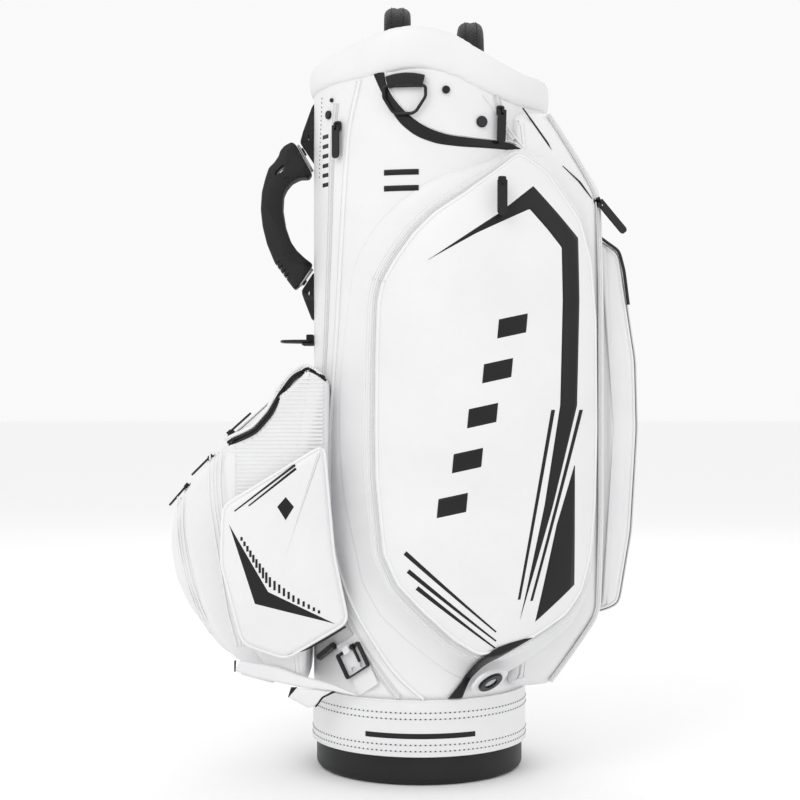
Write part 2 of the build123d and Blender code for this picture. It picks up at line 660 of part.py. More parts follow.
def make_eyelet_tab():
    tab = Pos(0, 0, -1.5) * Box(44, 36, 3)
    tab = fillet(tab.edges().filter_by(Axis.Z), 14)
    return EYELET_PLANE.location * (tab - Cylinder(EYELET_INNER, 20))


def make_eyelet():
    ring = Cylinder(EYELET_OUTER, 3, align=(Align.CENTER, Align.CENTER, Align.MIN))
    ring = fillet(ring.edges().group_by(Axis.Z)[-1], 1.3)
    return EYELET_PLANE.location * (ring - Cylinder(EYELET_INNER, 20))


def make_hood_snaps():
    """Studs under the collar that hold a rain hood."""
    studs = []
    for x, below, radius in ((28.5, 28, 4.5), (69, 62, 6.5), (-101, 30, 2.4), (-105, 46, 5.0)):
        stud = Cylinder(radius, 3, align=(Align.CENTER, Align.CENTER, Align.MIN))
        stud = fillet(stud.edges().group_by(Axis.Z)[-1], 1.2)
        studs.append(tube_plane(drawn_x(x), TUBE_TOP - below, lift=0.1).location * stud)
    return group(studs)


# ---- shoulder strap ----

STRAP_TOP = (drawn_x(-17.0), TUBE_TOP - 52.0)
STRAP_FOOT = (drawn_x(-189.0), BAND_TOP + 9.4)
STRAP_LENGTH = hypot(STRAP_TOP[0] - STRAP_FOOT[0], STRAP_TOP[1] - STRAP_FOOT[1])
STRAP_LEAN = degrees(atan2(STRAP_TOP[0] - STRAP_FOOT[0], STRAP_TOP[1] - STRAP_FOOT[1]))
# Distance out from the tube's radius, and share of the way down from the top to the foot.
STRAP_HANG = [(14.3, 0.021), (32, 0.134), (43, 0.416), (40, 0.698), (8, 0.954)]
STRAP_ROUTE = [(TUBE_RADIUS + out, STRAP_LENGTH * share) for out, share in STRAP_HANG]
STRAP_ROUTE += [(BALL_HALF_WIDTHS[0], STRAP_LENGTH), (-BALL_HALF_WIDTHS[0], STRAP_LENGTH)]
PAD_HANG = [(33.4, 0.163), (43, 0.416), (41, 0.609)]
STRAP_RADII = (120, 400, 400, 60, 22)
STRAP_PLANE = Plane(
    origin=(STRAP_TOP[0], 0, STRAP_TOP[1]),
    x_dir=(0, 1, 0),
    z_dir=(-cos(radians(STRAP_LEAN)), 0, sin(radians(STRAP_LEAN))),
)


def strap_ribbon(route, radii, thickness, width):
    """Ribbon along a route of (distance along Y, distance down the lean), as wide as width."""
    line = FilletPolyline(*route, radius=radii)
    section = Plane(origin=line @ 0, x_dir=Vector(0, 0, 1), z_dir=line % 0) * Rectangle(width, thickness)
    return STRAP_PLANE.location * sweep(section, path=line)


def make_shoulder_strap():
    return strap_ribbon(STRAP_ROUTE, STRAP_RADII, STRAP_THICKNESS, STRAP_WIDTH)


def make_strap_pad():
    """Padded sleeve laid on the outside of the strap's upper half."""
    width, thickness = STRAP_PAD
    offset = (STRAP_THICKNESS + thickness) / 2 + GAP
    route = [(TUBE_RADIUS + offset + out, STRAP_LENGTH * share) for out, share in PAD_HANG]
    pad = strap_ribbon(route, (400,), thickness, width)
    return pad


def make_lower_strap():
    """Near end of the strap, along the foot of the ball pockets towards the buckle."""
    start = Vector(BALL_STEPS[0] + 8, -BALL_HALF_WIDTHS[0] - 2, BAND_TOP + 30)
    end = Vector(drawn_x(-82), -BALL_HALF_WIDTHS[0] - 2, BAND_TOP + 1.5)
    along = end - start
    place = Plane(origin=(start + end) * 0.5, x_dir=along, z_dir=(0, -1, 0))
    return place.location * Box(along.length, 22, STRAP_THICKNESS)


# ---- write the nodes ----

def main():
    garment = make_garment_pocket()
    apparel = make_apparel_pocket(garment)
    balls = [make_ball_pocket(step) for step in range(3)]
    eyelet_tab = make_eyelet_tab()

    body_tape = make_tape(BODY_ZIP, False, -235, 12, TAPE_THICKNESS)
    upper_tape = make_tape(UPPER_ZIP, False, -34, 6, TAPE_THICKNESS)
    apparel_tape = make_tape(APPAREL_TAPE, False, -84, 12, 3)
    garment_tape = make_tape(GARMENT_TAPE, False, -430, 10, 3)
    ball_tapes = [
        make_tape(BALL_INNER_ZIP, False, -62, 6, 3),
        make_tape(BALL_MIDDLE_ZIP, True, -112, 22, 3),
        make_tape(BALL_OUTER_ZIP, True, -92, 20, 3),
    ]
    garment -= garment_tape
    apparel -= apparel_tape
    apparel -= garment_tape
    near_apparel = apparel - eyelet_tab
    balls = [ball - tape for ball, tape in zip(balls, ball_tapes)]

    save("base_cup", make_base_cup())
    save("base_band", make_base_band())
    save("base_pad", make_base_pad())
    save("body_shell", make_body_shell())
    save("top_collar", make_top_collar())
    save("divider_rim", make_divider_rim())
    save("divider_long_bars", make_long_bars())
    save("divider_cross_bars", make_cross_bars())
    save("divider_long_panels", make_long_panels())
    save("divider_cross_panels", make_cross_panels())
    save("stay_rods", make_stay_rods())
    for side, x, width, rise in zip(("left", "right"), LONG_BARS_X, HANDLE_WIDTHS, HANDLE_RISES):
        save(f"lift_handle_{side}", make_lift_handle(x, width, rise))

    save("garment_pocket", garment)
    save("side_pocket", make_side_pocket())
    save("apparel_pocket_near", near_apparel)
    save("apparel_pocket_far", mirrored(apparel))
    for name, ball in zip(("inner", "middle", "outer"), balls):
        save(f"ball_pocket_{name}", ball)
    pouch = make_pouch()
    save("valuables_pouch_near", pouch)
    save("valuables_pouch_far", mirrored(pouch))

    save("zip_tape_body", body_tape)
    save("zip_tape_upper", upper_tape)
    save("zip_tape_apparel", group([apparel_tape, mirrored(apparel_tape)]))
    save("zip_tape_garment", garment_tape)
    save("zip_tape_balls", group(ball_tapes))
    pulls = {
        "body": (BODY_ZIP, 38, 0),
        "upper": (UPPER_ZIP, 38, 0),
        "apparel_near": (APPAREL_ZIP, 38, 0),
        "garment": (GARMENT_ZIP, 46, 25),
        "ball_inner": (BALL_INNER_ZIP, 34, 0),
        "ball_middle": (BALL_MIDDLE_ZIP, 32, 0),
        "ball_outer": (BALL_OUTER_ZIP, 32, 0),
    }
    for name, (frame, length, rest_angle) in pulls.items():
        save(f"slider_{name}", make_slider(frame))
        save(f"pull_{name}", make_pull(frame, length, rest_angle))
    save("slider_apparel_far", mirrored(make_slider(APPAREL_ZIP)))
    save("pull_apparel_far", mirrored(make_pull(APPAREL_ZIP, 38)))

    tab = make_ring_tab(TOP_RING, RING_WIDTH - 24, 14)
    ring = make_ring(TOP_RING, RING_WIDTH, RING_DROP, 0)
    save("top_ring_tabs", group([tab, mirrored(tab)]))
    save("top_ring_near", ring)
    save("top_ring_far", mirrored(ring))
    save("spine_ring_tab", make_spine_tab())
    save("spine_ring", make_ring(SPINE_RING, SPINE_RING_WIDTH, SPINE_RING_REACH, 90))
    save("carry_grip", make_carry_grip())
    save("grip_webbing", make_grip_webbing())
    save("buckle_belt", make_buckle_belt())
    save("buckle_frame", make_buckle_frame())
    save("buckle_prong", make_buckle_prong())
    save("buckle_keeper", make_buckle_keeper())
    save("shoulder_strap", make_shoulder_strap())
    save("strap_pad", make_strap_pad())
    save("lower_strap", make_lower_strap())
    save("eyelet_tab", eyelet_tab)
    save("eyelet", make_eyelet())
    save("hood_snaps", make_hood_snaps())


main()
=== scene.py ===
# %% [markdown]
# # A golf staff bag, as surfaces worked out with numpy
# The bag is a padded tube on a round foot, with stuffed pockets round it. The hard parts come
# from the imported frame, and this script gives them finishes. The soft parts are surfaces of two
# parameters, worked out as whole arrays in millimetres, in the frame's own axes.

import bmesh
import bpy
import numpy as np
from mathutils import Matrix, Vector


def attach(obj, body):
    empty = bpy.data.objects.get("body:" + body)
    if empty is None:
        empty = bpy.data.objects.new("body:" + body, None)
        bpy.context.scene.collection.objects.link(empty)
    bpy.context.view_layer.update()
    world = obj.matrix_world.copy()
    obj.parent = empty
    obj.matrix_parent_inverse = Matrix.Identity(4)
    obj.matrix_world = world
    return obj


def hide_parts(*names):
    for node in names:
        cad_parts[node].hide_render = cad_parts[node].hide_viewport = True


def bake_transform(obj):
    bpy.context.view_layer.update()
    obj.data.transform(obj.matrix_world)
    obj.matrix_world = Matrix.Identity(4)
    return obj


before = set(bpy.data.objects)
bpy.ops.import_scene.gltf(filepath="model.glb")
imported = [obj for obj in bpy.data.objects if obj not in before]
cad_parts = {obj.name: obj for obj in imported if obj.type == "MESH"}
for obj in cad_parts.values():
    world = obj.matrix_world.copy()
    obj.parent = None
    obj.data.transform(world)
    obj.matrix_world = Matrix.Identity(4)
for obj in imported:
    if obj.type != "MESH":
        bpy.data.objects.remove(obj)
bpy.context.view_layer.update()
MM = 0.001

# %% [markdown]
# ## Lines
# A designer draws a pocket as a few points. A softened line through them could be a Bezier curve
# with handles to place by hand. Smoothing an even sampling with a Gaussian needs no handles and
# rounds every corner by the same amount, as a sewn edge does.


# %% Even and softened lines
def resample(points, count, closed=False):
    """Even points on a line: each coordinate is interpolated over the running length."""
    points = np.asarray(points, float)
    if closed:
        points = looped(points)
    steps = np.linalg.norm(np.diff(points, axis=0), axis=1)
    along = np.concatenate([[0], np.cumsum(steps)])
    places = np.linspace(0, along[-1], count, endpoint=not closed)
    return np.stack([np.interp(places, along, column) for column in points.T], axis=1)


def looped(line):
    """A closed outline with its first point again at the end."""
    return np.vstack([line, line[:1]])


def at_depth(line, y):
    """A line in x and z, put at one depth y."""
    return np.stack([line[:, 0], np.full(len(line), y), line[:, 1]], axis=1)


def soften(points, count, radius):
    """Closed outline, each coordinate damped in Fourier space by exp(-2 (pi f r)^2), f per
    millimetre."""
    line = resample(points, 1024, closed=True)
    length = np.linalg.norm(np.diff(line, axis=0, append=line[:1]), axis=1).sum()
    waves = np.fft.rfftfreq(1024, d=length / 1024)
    damping = np.exp(-2 * (np.pi * waves * radius) ** 2)[:, None]
    return resample(np.fft.irfft(np.fft.rfft(line, axis=0) * damping, 1024, axis=0), count,
        closed=True)


def smooth_path(points, count, radius):
    """Open path rounded by a Gaussian, continued past each end by its own reflection, so its ends
    stay."""
    line = resample(points, count)
    step = np.linalg.norm(np.diff(line, axis=0), axis=1).mean()
    reach = min(int(np.ceil(3 * radius / step)), count - 2)
    kernel = np.exp(-0.5 * (np.arange(-reach, reach + 1) * step / radius) ** 2)
    before = 2 * line[0] - line[reach:0:-1]
    after = 2 * line[-1] - line[-2:-reach - 2:-1]
    longer = np.vstack([before, line, after])
    return np.stack([np.convolve(column, kernel / kernel.sum(), "valid") for column in longer.T],
        axis=1)


# %% [markdown]
# ## Grids
# Every soft piece is a grid of points, and each cell of the grid is a face. Where the grid comes
# back to its start, or a row shrinks to a point, the doubled points are merged, so seams and poles
# are closed without special faces.


# %% Grids to meshes
def grid_lengths(grid):
    """Running lengths down the rows and along the columns in metres, as a UV map."""
    down = np.linalg.norm(np.diff(grid, axis=0), axis=2).mean(axis=1)
    along = np.linalg.norm(np.diff(grid, axis=1), axis=2).mean(axis=0)
    v = np.concatenate([[0], np.cumsum(down)]) * MM
    u = np.concatenate([[0], np.cumsum(along)]) * MM
    return np.stack(np.broadcast_arrays(u[None, :], v[:, None]), axis=-1)


def make_mesh(name, points, quads, uv=None):
    """Points in millimetres and faces of four, put in with foreach_set, then merged and turned
    outwards."""
    mesh = bpy.data.meshes.new(name)
    mesh.vertices.add(len(points))
    mesh.vertices.foreach_set("co", (points * MM).astype(np.float32).ravel())
    mesh.loops.add(quads.size)
    mesh.loops.foreach_set("vertex_index", quads.astype(np.int32).ravel())
    mesh.polygons.add(len(quads))
    mesh.polygons.foreach_set("loop_start", np.arange(0, quads.size, 4, dtype=np.int32))
    mesh.update(calc_edges=True)
    if uv is not None:
        layer = mesh.uv_layers.new(name="UVMap")
        layer.data.foreach_set("uv", uv[quads.ravel()].astype(np.float32).ravel())
    build = bmesh.new()
    build.from_mesh(mesh)
    bmesh.ops.remove_doubles(build, verts=build.verts, dist=2e-6)
    bmesh.ops.recalc_face_normals(build, faces=build.faces)
    build.to_mesh(mesh)
    build.free()
    mesh.polygons.foreach_set("use_smooth", np.ones(len(mesh.polygons), bool))
    mesh.update()
    return mesh


def grids_mesh(name, grids):
    """One mesh from several grids of rows by columns by 3."""
    points, quads, uvs, used = [], [], [], 0
    for grid in grids:
        rows, columns = grid.shape[:2]
        index = used + np.arange(rows * columns).reshape(rows, columns)
        cells = np.stack([index[:-1, :-1], index[:-1, 1:], index[1:, 1:], index[1:, :-1]], axis=-1)
        points.append(grid.reshape(-1, 3))
        quads.append(cells.reshape(-1, 4))
        uvs.append(grid_lengths(grid).reshape(-1, 2))
        used += rows * columns
    return make_mesh(name, np.vstack(points), np.vstack(quads), np.vstack(uvs))


def piece(name, grids, finish, slot, body="bag", replaces=()):
    """A piece of the bag from its grids, with its finish and the body it rides on; the slot is not
    used.
    """
    mesh = grids_mesh(name, grids)
    thing = bpy.data.objects.new(name, mesh)
    bpy.context.scene.collection.objects.link(thing)
    mesh.materials.append(finish)
    if body:
        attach(thing, body)
    if replaces:
        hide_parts(*replaces)
    print(f"{name}: {len(mesh.polygons)} faces")
    return thing


def flipped(grids):
    """The same grids on the far side."""
    return [grid * np.array([1, -1, 1]) for grid in grids]


# %% [markdown]
# ## Carrying a section along a path
# Piping, straps, handles and zip coils are all one section carried along a line. Blender's curve
# bevel does this too, but here the section has to stand on the leather, so the surface's own
# normal sets which way is up at every point.


# %% Sections along paths
def unit(vectors):
    return vectors / np.linalg.norm(vectors, axis=-1, keepdims=True)


def carry(path, section, up, size=None):
    """Section (across, up) carried along a path: point = path + across * side + up * lift, ends
    closed."""
    path = np.asarray(path, float)
    ahead = unit(np.gradient(path, axis=0))
    up = np.broadcast_to(np.asarray(up, float), path.shape)
    side = unit(np.cross(ahead, up))
    lift = np.cross(side, ahead)
    size = np.ones(len(path)) if size is None else size
    ring = looped(section)
    body = (
        path[:, None]
        + ring[None, :, :1] * side[:, None] * size[:, None, None]
        + ring[None, :, 1:] * lift[:, None] * size[:, None, None]
    )
    middle = body[:, :-1].mean(axis=1, keepdims=True)
    first = np.repeat(middle[:1], ring.shape[0], axis=1)
    last = np.repeat(middle[-1:], ring.shape[0], axis=1)
    return np.concatenate([first, body, last])


def superellipse(half_wide, half_high, sides=16, power=2.0, rise=0.0):
    """Section |x/a|^p + |y/b|^p = 1 by angle; power 2 is an ellipse and 4 a soft rectangle."""
    turn = np.linspace(0, 2 * np.pi, sides, endpoint=False)
    x = np.sign(np.cos(turn)) * np.abs(np.cos(turn)) ** (2 / power)
    y = np.sign(np.sin(turn)) * np.abs(np.sin(turn)) ** (2 / power)
    return np.stack([half_wide * x, half_high * y + rise], axis=1)


# %% [markdown]
# ## Finishes
# Synthetic leather has a fine pebble grain, a faint unevenness of tone and a soft gloss. Webbing
# and tape are woven. Those effects are shared, so each is a node group with its own inputs, and
# every material sets its own values on the shader.


# %% Node helpers
def node_group(name, inputs, outputs):
    """Shader node group with named number inputs and named outputs."""
    tree = bpy.data.node_groups.new(name, "ShaderNodeTree")
    for label, value in inputs.items():
        socket = tree.interface.new_socket(label, in_out="INPUT", socket_type="NodeSocketFloat")
        socket.default_value = value
    for label in outputs:
        tree.interface.new_socket(label, in_out="OUTPUT", socket_type="NodeSocketFloat")
    return tree, tree.nodes.new("NodeGroupInput"), tree.nodes.new("NodeGroupOutput")


def calc(tree, operation, first, second=None, third=None):
    """One math node; numbers are set and sockets are linked."""
    node = tree.nodes.new("ShaderNodeMath")
    node.operation = operation
    for socket, value in zip(node.inputs, (first, second, third)):
        if isinstance(value, (int, float)):
            socket.default_value = value
        elif value is not None:
            tree.links.new(value, socket)
    return node.outputs[0]


# %% Pebble grain: cracks between cells, softened by noise, and a slow change of tone
def make_grain():
    tree, given, result = node_group("Pebble grain", {"Cells per metre": 900.0, "Roll": 0.5},
        ["Height", "Tone"])
    place = tree.nodes.new("ShaderNodeTexCoord").outputs["Object"]
    cells = tree.nodes.new("ShaderNodeTexVoronoi")
    cells.feature = "SMOOTH_F1"
    cells.inputs["Smoothness"].default_value = 0.6
    fine = tree.nodes.new("ShaderNodeTexNoise")
    fine.inputs["Detail"].default_value = 3.0
    slow = tree.nodes.new("ShaderNodeTexNoise")
    slow.inputs["Scale"].default_value = 14.0
    slow.inputs["Detail"].default_value = 4.0
    for node in (cells, fine, slow):
        tree.links.new(place, node.inputs["Vector"])
    tree.links.new(given.outputs["Cells per metre"], cells.inputs["Scale"])
    tree.links.new(calc(tree, "MULTIPLY", given.outputs["Cells per metre"], 0.3),
        fine.inputs["Scale"])
    roll = calc(tree, "MULTIPLY", fine.outputs[0], given.outputs["Roll"])
    tree.links.new(calc(tree, "ADD", cells.outputs["Distance"], roll), result.inputs["Height"])
    tree.links.new(slow.outputs[0], result.inputs["Tone"])
    return tree


# %% Weave: threads over and under, the product of two sines along the slanting sums of two axes
def make_weave():
    tree, given, result = node_group("Weave", {"Threads per metre": 1200.0}, ["Height", "Thread"])
    parts = tree.nodes.new("ShaderNodeSeparateXYZ")
    tree.links.new(tree.nodes.new("ShaderNodeTexCoord").outputs["Object"], parts.inputs[0])
    sines = []
    for one, other in ((0, 1), (2, 1)):
        turned = calc(tree, "ADD" if one == 0 else "SUBTRACT", parts.outputs[one],
            parts.outputs[other])
        pitch = calc(tree, "MULTIPLY", calc(tree, "MULTIPLY", turned, given.outputs[0]), 3.1416)
        sines.append(calc(tree, "SINE", pitch))
    crossing = calc(tree, "MULTIPLY", sines[0], sines[1])
    tree.links.new(calc(tree, "ABSOLUTE", crossing), result.inputs["Height"])
    tree.links.new(calc(tree, "MULTIPLY_ADD", crossing, 0.5, 0.5), result.inputs["Thread"])
    return tree


GRAIN = make_grain()
WEAVE = make_weave()


# %% One material from a shared effect and its own numbers
def finish(name, dark, light, rough, effect=GRAIN, scale=900.0, depth=0.12, metal=0.0, coat=0.0,
    sheen=0.0):
    """Base colour and roughness run between two values with the effect's slow output; its height
    goes to a bump."""
    made = bpy.data.materials.new(name)
    made.use_nodes = True
    tree = made.node_tree
    shader = tree.nodes["Principled BSDF"]
    source = tree.nodes.new("ShaderNodeGroup")
    source.node_tree = effect
    source.inputs[0].default_value = scale
    ramp = tree.nodes.new("ShaderNodeMix")
    ramp.data_type = "RGBA"
    ramp.inputs[6].default_value = (*dark, 1)
    ramp.inputs[7].default_value = (*light, 1)
    tree.links.new(source.outputs[1], ramp.inputs[0])
    tree.links.new(ramp.outputs[2], shader.inputs["Base Color"])
    spread = tree.nodes.new("ShaderNodeMapRange")
    spread.inputs["To Min"].default_value = rough[0]
    spread.inputs["To Max"].default_value = rough[1]
    tree.links.new(source.outputs[1], spread.inputs["Value"])
    tree.links.new(spread.outputs[0], shader.inputs["Roughness"])
    bump = tree.nodes.new("ShaderNodeBump")
    bump.inputs["Distance"].default_value = depth * MM
    bump.inputs["Strength"].default_value = 1.0
    tree.links.new(source.outputs[0], bump.inputs["Height"])
    tree.links.new(bump.outputs[0], shader.inputs["Normal"])
    shader.inputs["Metallic"].default_value = metal
    bright = max(light) > 0.3 or metal > 0
    shader.inputs["Specular IOR Level"].default_value = 0.5 if bright else 0.22
    shader.inputs["Coat Weight"].default_value = coat
    shader.inputs["Coat Roughness"].default_value = 0.12
    shader.inputs["Sheen Weight"].default_value = sheen
    made.diffuse_color = (*light, 1)
    return made


WHITE = finish("white leather", (0.74, 0.74, 0.75), (0.83, 0.83, 0.835), (0.36, 0.48), depth=0.10)
PIPING = finish("white piping", (0.78, 0.78, 0.79), (0.86, 0.86, 0.86), (0.28, 0.36), scale=1600.0,
    depth=0.05)
GLOSS = finish("black leather", (0.006, 0.006, 0.007), (0.012, 0.012, 0.013), (0.30, 0.42),
    depth=0.08, coat=0.12)
SATIN_GLOSS = finish("black lacquer", (0.006, 0.006, 0.006), (0.012, 0.012, 0.012), (0.10, 0.18),
    scale=400.0, depth=0.01, coat=0.8)
SATIN = finish("black moulding", (0.012, 0.012, 0.013), (0.022, 0.022, 0.023), (0.38, 0.52),
    scale=1500.0, depth=0.05)
METAL = finish("black plating", (0.02, 0.02, 0.022), (0.045, 0.045, 0.048), (0.16, 0.30),
    scale=300.0, depth=0.01, metal=0.9)
PALE_METAL = finish("pale metal", (0.42, 0.42, 0.43), (0.60, 0.60, 0.61), (0.22, 0.36), scale=300.0,
    depth=0.01, metal=1.0)
WEBBING = finish("black webbing", (0.006, 0.006, 0.007), (0.030, 0.030, 0.031), (0.62, 0.82),
    effect=WEAVE, scale=620.0, depth=0.45, sheen=0.2)
TAPE = finish("pale zip tape", (0.60, 0.60, 0.60), (0.78, 0.78, 0.78), (0.55, 0.75), effect=WEAVE,
    scale=1300.0, depth=0.15, sheen=0.2)
COIL = finish("pale zip coil", (0.68, 0.68, 0.68), (0.80, 0.80, 0.80), (0.30, 0.42), scale=1600.0,
    depth=0.03)
RUBBER = finish("soft black rubber", (0.010, 0.010, 0.010), (0.020, 0.020, 0.020), (0.55, 0.70),
    scale=2200.0, depth=0.05)
LINING = finish("black lining", (0.008, 0.008, 0.009), (0.024, 0.024, 0.026), (0.70, 0.92),
    effect=WEAVE, scale=1500.0, depth=0.12, sheen=0.5)
THREAD = finish("white thread", (0.74, 0.74, 0.74), (0.84, 0.84, 0.84), (0.5, 0.7), scale=3000.0,
    depth=0.05)
# Painted shade: this dark colour stands in for the shade inside each needle hole.
HOLE_SHADE = finish("stitch shadow", (0.03, 0.03, 0.03), (0.06, 0.06, 0.06), (0.7, 0.9), scale=1500.0,
    depth=0.05)
RODS = finish("glass fibre", (0.05, 0.05, 0.052), (0.10, 0.10, 0.10), (0.30, 0.45), scale=900.0,
    depth=0.03)
print("finishes", len(bpy.data.materials))

# %% [markdown]
# ## Hard parts that keep the frame's own mesh
# The cup, the divider, its panels, the rods, rings, sliders and the buckle have the right shape
# already, so each only takes a finish on its own slot.

# %% Finishes of the hard parts
KEPT = {
    SATIN: ["base_cup", "divider_rim", "divider_long_bars", "divider_cross_bars"],
    LINING: ["divider_long_panels", "divider_cross_panels", "base_pad"],
    RODS: ["stay_rods"],
    METAL: ["top_ring_near", "top_ring_far", "spine_ring", "buckle_frame", "buckle_prong",
    "hood_snaps", "eyelet"],
    WEBBING: ["top_ring_tabs", "spine_ring_tab"],
    SATIN_GLOSS: ["buckle_keeper"],
    WHITE: ["buckle_belt", "eyelet_tab"],
}
ZIPS = ["body", "upper", "apparel_near", "apparel_far", "garment", "ball_inner", "ball_middle",
    "ball_outer"]
KEPT[METAL] += [f"slider_{name}" for name in ZIPS]
KEPT[SATIN] += [f"pull_{name}" for name in ZIPS]


def dress(node, look):
    """Put a finish on every slot of a frame node."""
    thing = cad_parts[node]
    if not thing.material_slots:
        thing.data.materials.append(look)
    for held in thing.material_slots:
        held.material = look


for look, names in KEPT.items():
    for node in names:
        dress(node, look)
print("dressed", sum(len(names) for names in KEPT.values()), "frame parts")

# %% [markdown]
# ## The tube
# The body is a leather tube over foam and a stiffener. It is round at the foot and oval at the
# mouth, so each level is an ellipse whose half axes run in a straight line from one end to the
# other. A lofted curve would do as well, but the same formula also tells every pocket and seam
# where the wall is.

# %% The tube's levels
FOOT, TOP = 98.0, 810.0
WALL = 5.0
RADIUS = 126.0
MOUTH_SHIFT, MOUTH_LONGER, MOUTH_SHORTER = 12.0, 12.0, 1.0


def tube_axes(z):
    """Centre and half axes at height z: centre 0 to 12, long 126 to 138, short 126 to 125."""
    share = (np.asarray(z, float) - FOOT) / (TOP - FOOT)
    return MOUTH_SHIFT * share, RADIUS + MOUTH_LONGER * share, RADIUS - MOUTH_SHORTER * share


def tube_point(turn, z, outset=0.0):
    """Point on the wall: x = centre + long cos(turn), y = short sin(turn)."""
    centre, long_half, short_half = tube_axes(z)
    x = centre + (long_half + outset) * np.cos(turn)
    y = (short_half + outset) * np.sin(turn)
    return np.stack(np.broadcast_arrays(x, y, z), axis=-1)


def tube_depth(x, z):
    """The near wall as y of x and z: y = -short sqrt(1 - ((x - centre) / long)^2)."""
    centre, long_half, short_half = tube_axes(z)
    across = np.clip(1 - ((x - centre) / long_half) ** 2, 0, 1)
    return -short_half * np.sqrt(across)


def hug(points, inset=2.5):
    """Points inside the tube moved straight out to the middle of its wall, so nothing shows in the
    mouth."""
    centre, long_half, short_half = tube_axes(points[..., 2])
    x = (points[..., 0] - centre) / (long_half - inset)
    y = points[..., 1] / (short_half - inset)
    share = np.maximum(np.hypot(x, y), 1e-6)
    push = np.where(share < 1, 1 / share, 1)
    moved = points.copy()
    moved[..., 0] = centre + (points[..., 0] - centre) * push
    moved[..., 1] = points[..., 1] * push
    return moved


# %% The collar's two curves, as heights over x
TOP_EDGE = [(-134, 827), (-100, 835), (-69, 845), (-38, 854), (-8, 858.5), (20, 855), (40, 848),
    (68, 831), (115, 812),
            (163, 813)]
SEAM_EDGE = [(-134, 793), (-69, 797), (0, 805), (40, 797), (68, 781), (115, 767), (163, 774)]
TOP_CURVE = smooth_path(TOP_EDGE, 200, 12)
SEAM_CURVE = smooth_path(SEAM_EDGE, 200, 14)


def collar_top(x):
    return np.interp(x, *TOP_CURVE.T)


def collar_seam(x):
    return np.interp(x, *SEAM_CURVE.T)


# %% The tube's wall, outside then inside
TURNS = np.linspace(0, 2 * np.pi, 241)


def wall_band(outset, low, high, rows):
    """Rows between two heights that may differ round the tube."""
    share = np.linspace(0, 1, rows)[:, None]
    heights = low + (high - low) * share
    return tube_point(TURNS[None, :], heights, outset)


INSIDE_COLLAR = 7.0
rim_height = collar_seam(tube_point(TURNS, 780.0)[:, 0]) + INSIDE_COLLAR
outside = wall_band(0.0, np.full_like(TURNS, FOOT), rim_height, 90)
inside = wall_band(-WALL, np.full_like(TURNS, FOOT), rim_height, 30)[::-1]
tube_grid = np.concatenate([outside, inside, outside[:1]])
piece("body_tube", [tube_grid], WHITE, "leather_white", replaces=["body_shell"])

# %% [markdown]
# ## Stuffing
# Foam and wadding push leather out between its seams. Sculpting could show that, and so could a
# displaced surface, but a cloth simulation with air pressure inside finds the shape by itself. A
# voxel remesh gives it even faces, the seams are pinned, and a cap keeps it near its drawn shape.


# %% Stuffing a closed shell
FRAMES = 20


def bake(thing):
    """Turn a piece's modifiers into its own mesh."""
    bpy.context.view_layer.update()
    seen = thing.evaluated_get(bpy.context.evaluated_depsgraph_get())
    mesh = bpy.data.meshes.new_from_object(seen)
    thing.modifiers.clear()
    thing.data = mesh


def places(mesh):
    """Vertex places of a mesh in metres, as one array."""
    flat = np.empty(len(mesh.vertices) * 3, np.float32)
    mesh.vertices.foreach_get("co", flat)
    return flat.reshape(-1, 3).astype(float)


def stuffed(thing, sewn, voxel, pressure, cap):
    """Blow a closed shell up as cloth for 20 frames, pinned where sewn(points) says, then move each
    point by at most cap mm and round the mesh once."""
    scene = bpy.context.scene
    even = thing.modifiers.new("even faces", "REMESH")
    even.mode, even.voxel_size, even.use_smooth_shade = "VOXEL", voxel * MM, True
    bake(thing)
    before = places(thing.data)
    pins = thing.vertex_groups.new(name="sewn")
    pins.add(np.flatnonzero(sewn(before / MM)).tolist(), 1.0, "REPLACE")
    cloth = thing.modifiers.new("stuffing", "CLOTH")
    cloth.settings.use_pressure = True
    cloth.settings.uniform_pressure_force = pressure
    cloth.settings.vertex_group_mass = "sewn"
    cloth.settings.effector_weights.gravity = 0.0
    cloth.point_cache.frame_start, cloth.point_cache.frame_end = 1, FRAMES
    for moment in range(1, FRAMES + 1):
        scene.frame_set(moment)
    after = places(thing.evaluated_get(bpy.context.evaluated_depsgraph_get()).data)
    move = after - before
    far = np.linalg.norm(move, axis=1, keepdims=True)
    after = before + move * np.minimum(1, cap * MM / np.maximum(far, 1e-9))
    thing.modifiers.clear()
    thing.vertex_groups.clear()
    scene.frame_set(1)
    thing.data.vertices.foreach_set("co", after.astype(np.float32).ravel())
    rounding = thing.modifiers.new("round", "SUBSURF")
    rounding.levels = rounding.render_levels = 1
    bake(thing)
    print(thing.name, "stuffed: farthest move", round(float(far.max()) / MM, 2), "mm,",
        len(thing.data.polygons), "faces")


# %% [markdown]
# ## The collar
# A padded ring with a saddle-shaped top closes the mouth. Each section across it is a soft
# rectangle between the seam below and the edge above, a little fuller outside than inside.

# %% The collar
COLLAR_MIDDLE, COLLAR_HALF = -2.5, 7.6
COLLAR_FULLNESS = 0.16
SEWN_EDGE = 4.5
SECTION = superellipse(1.0, 1.0, 40, 3.2)


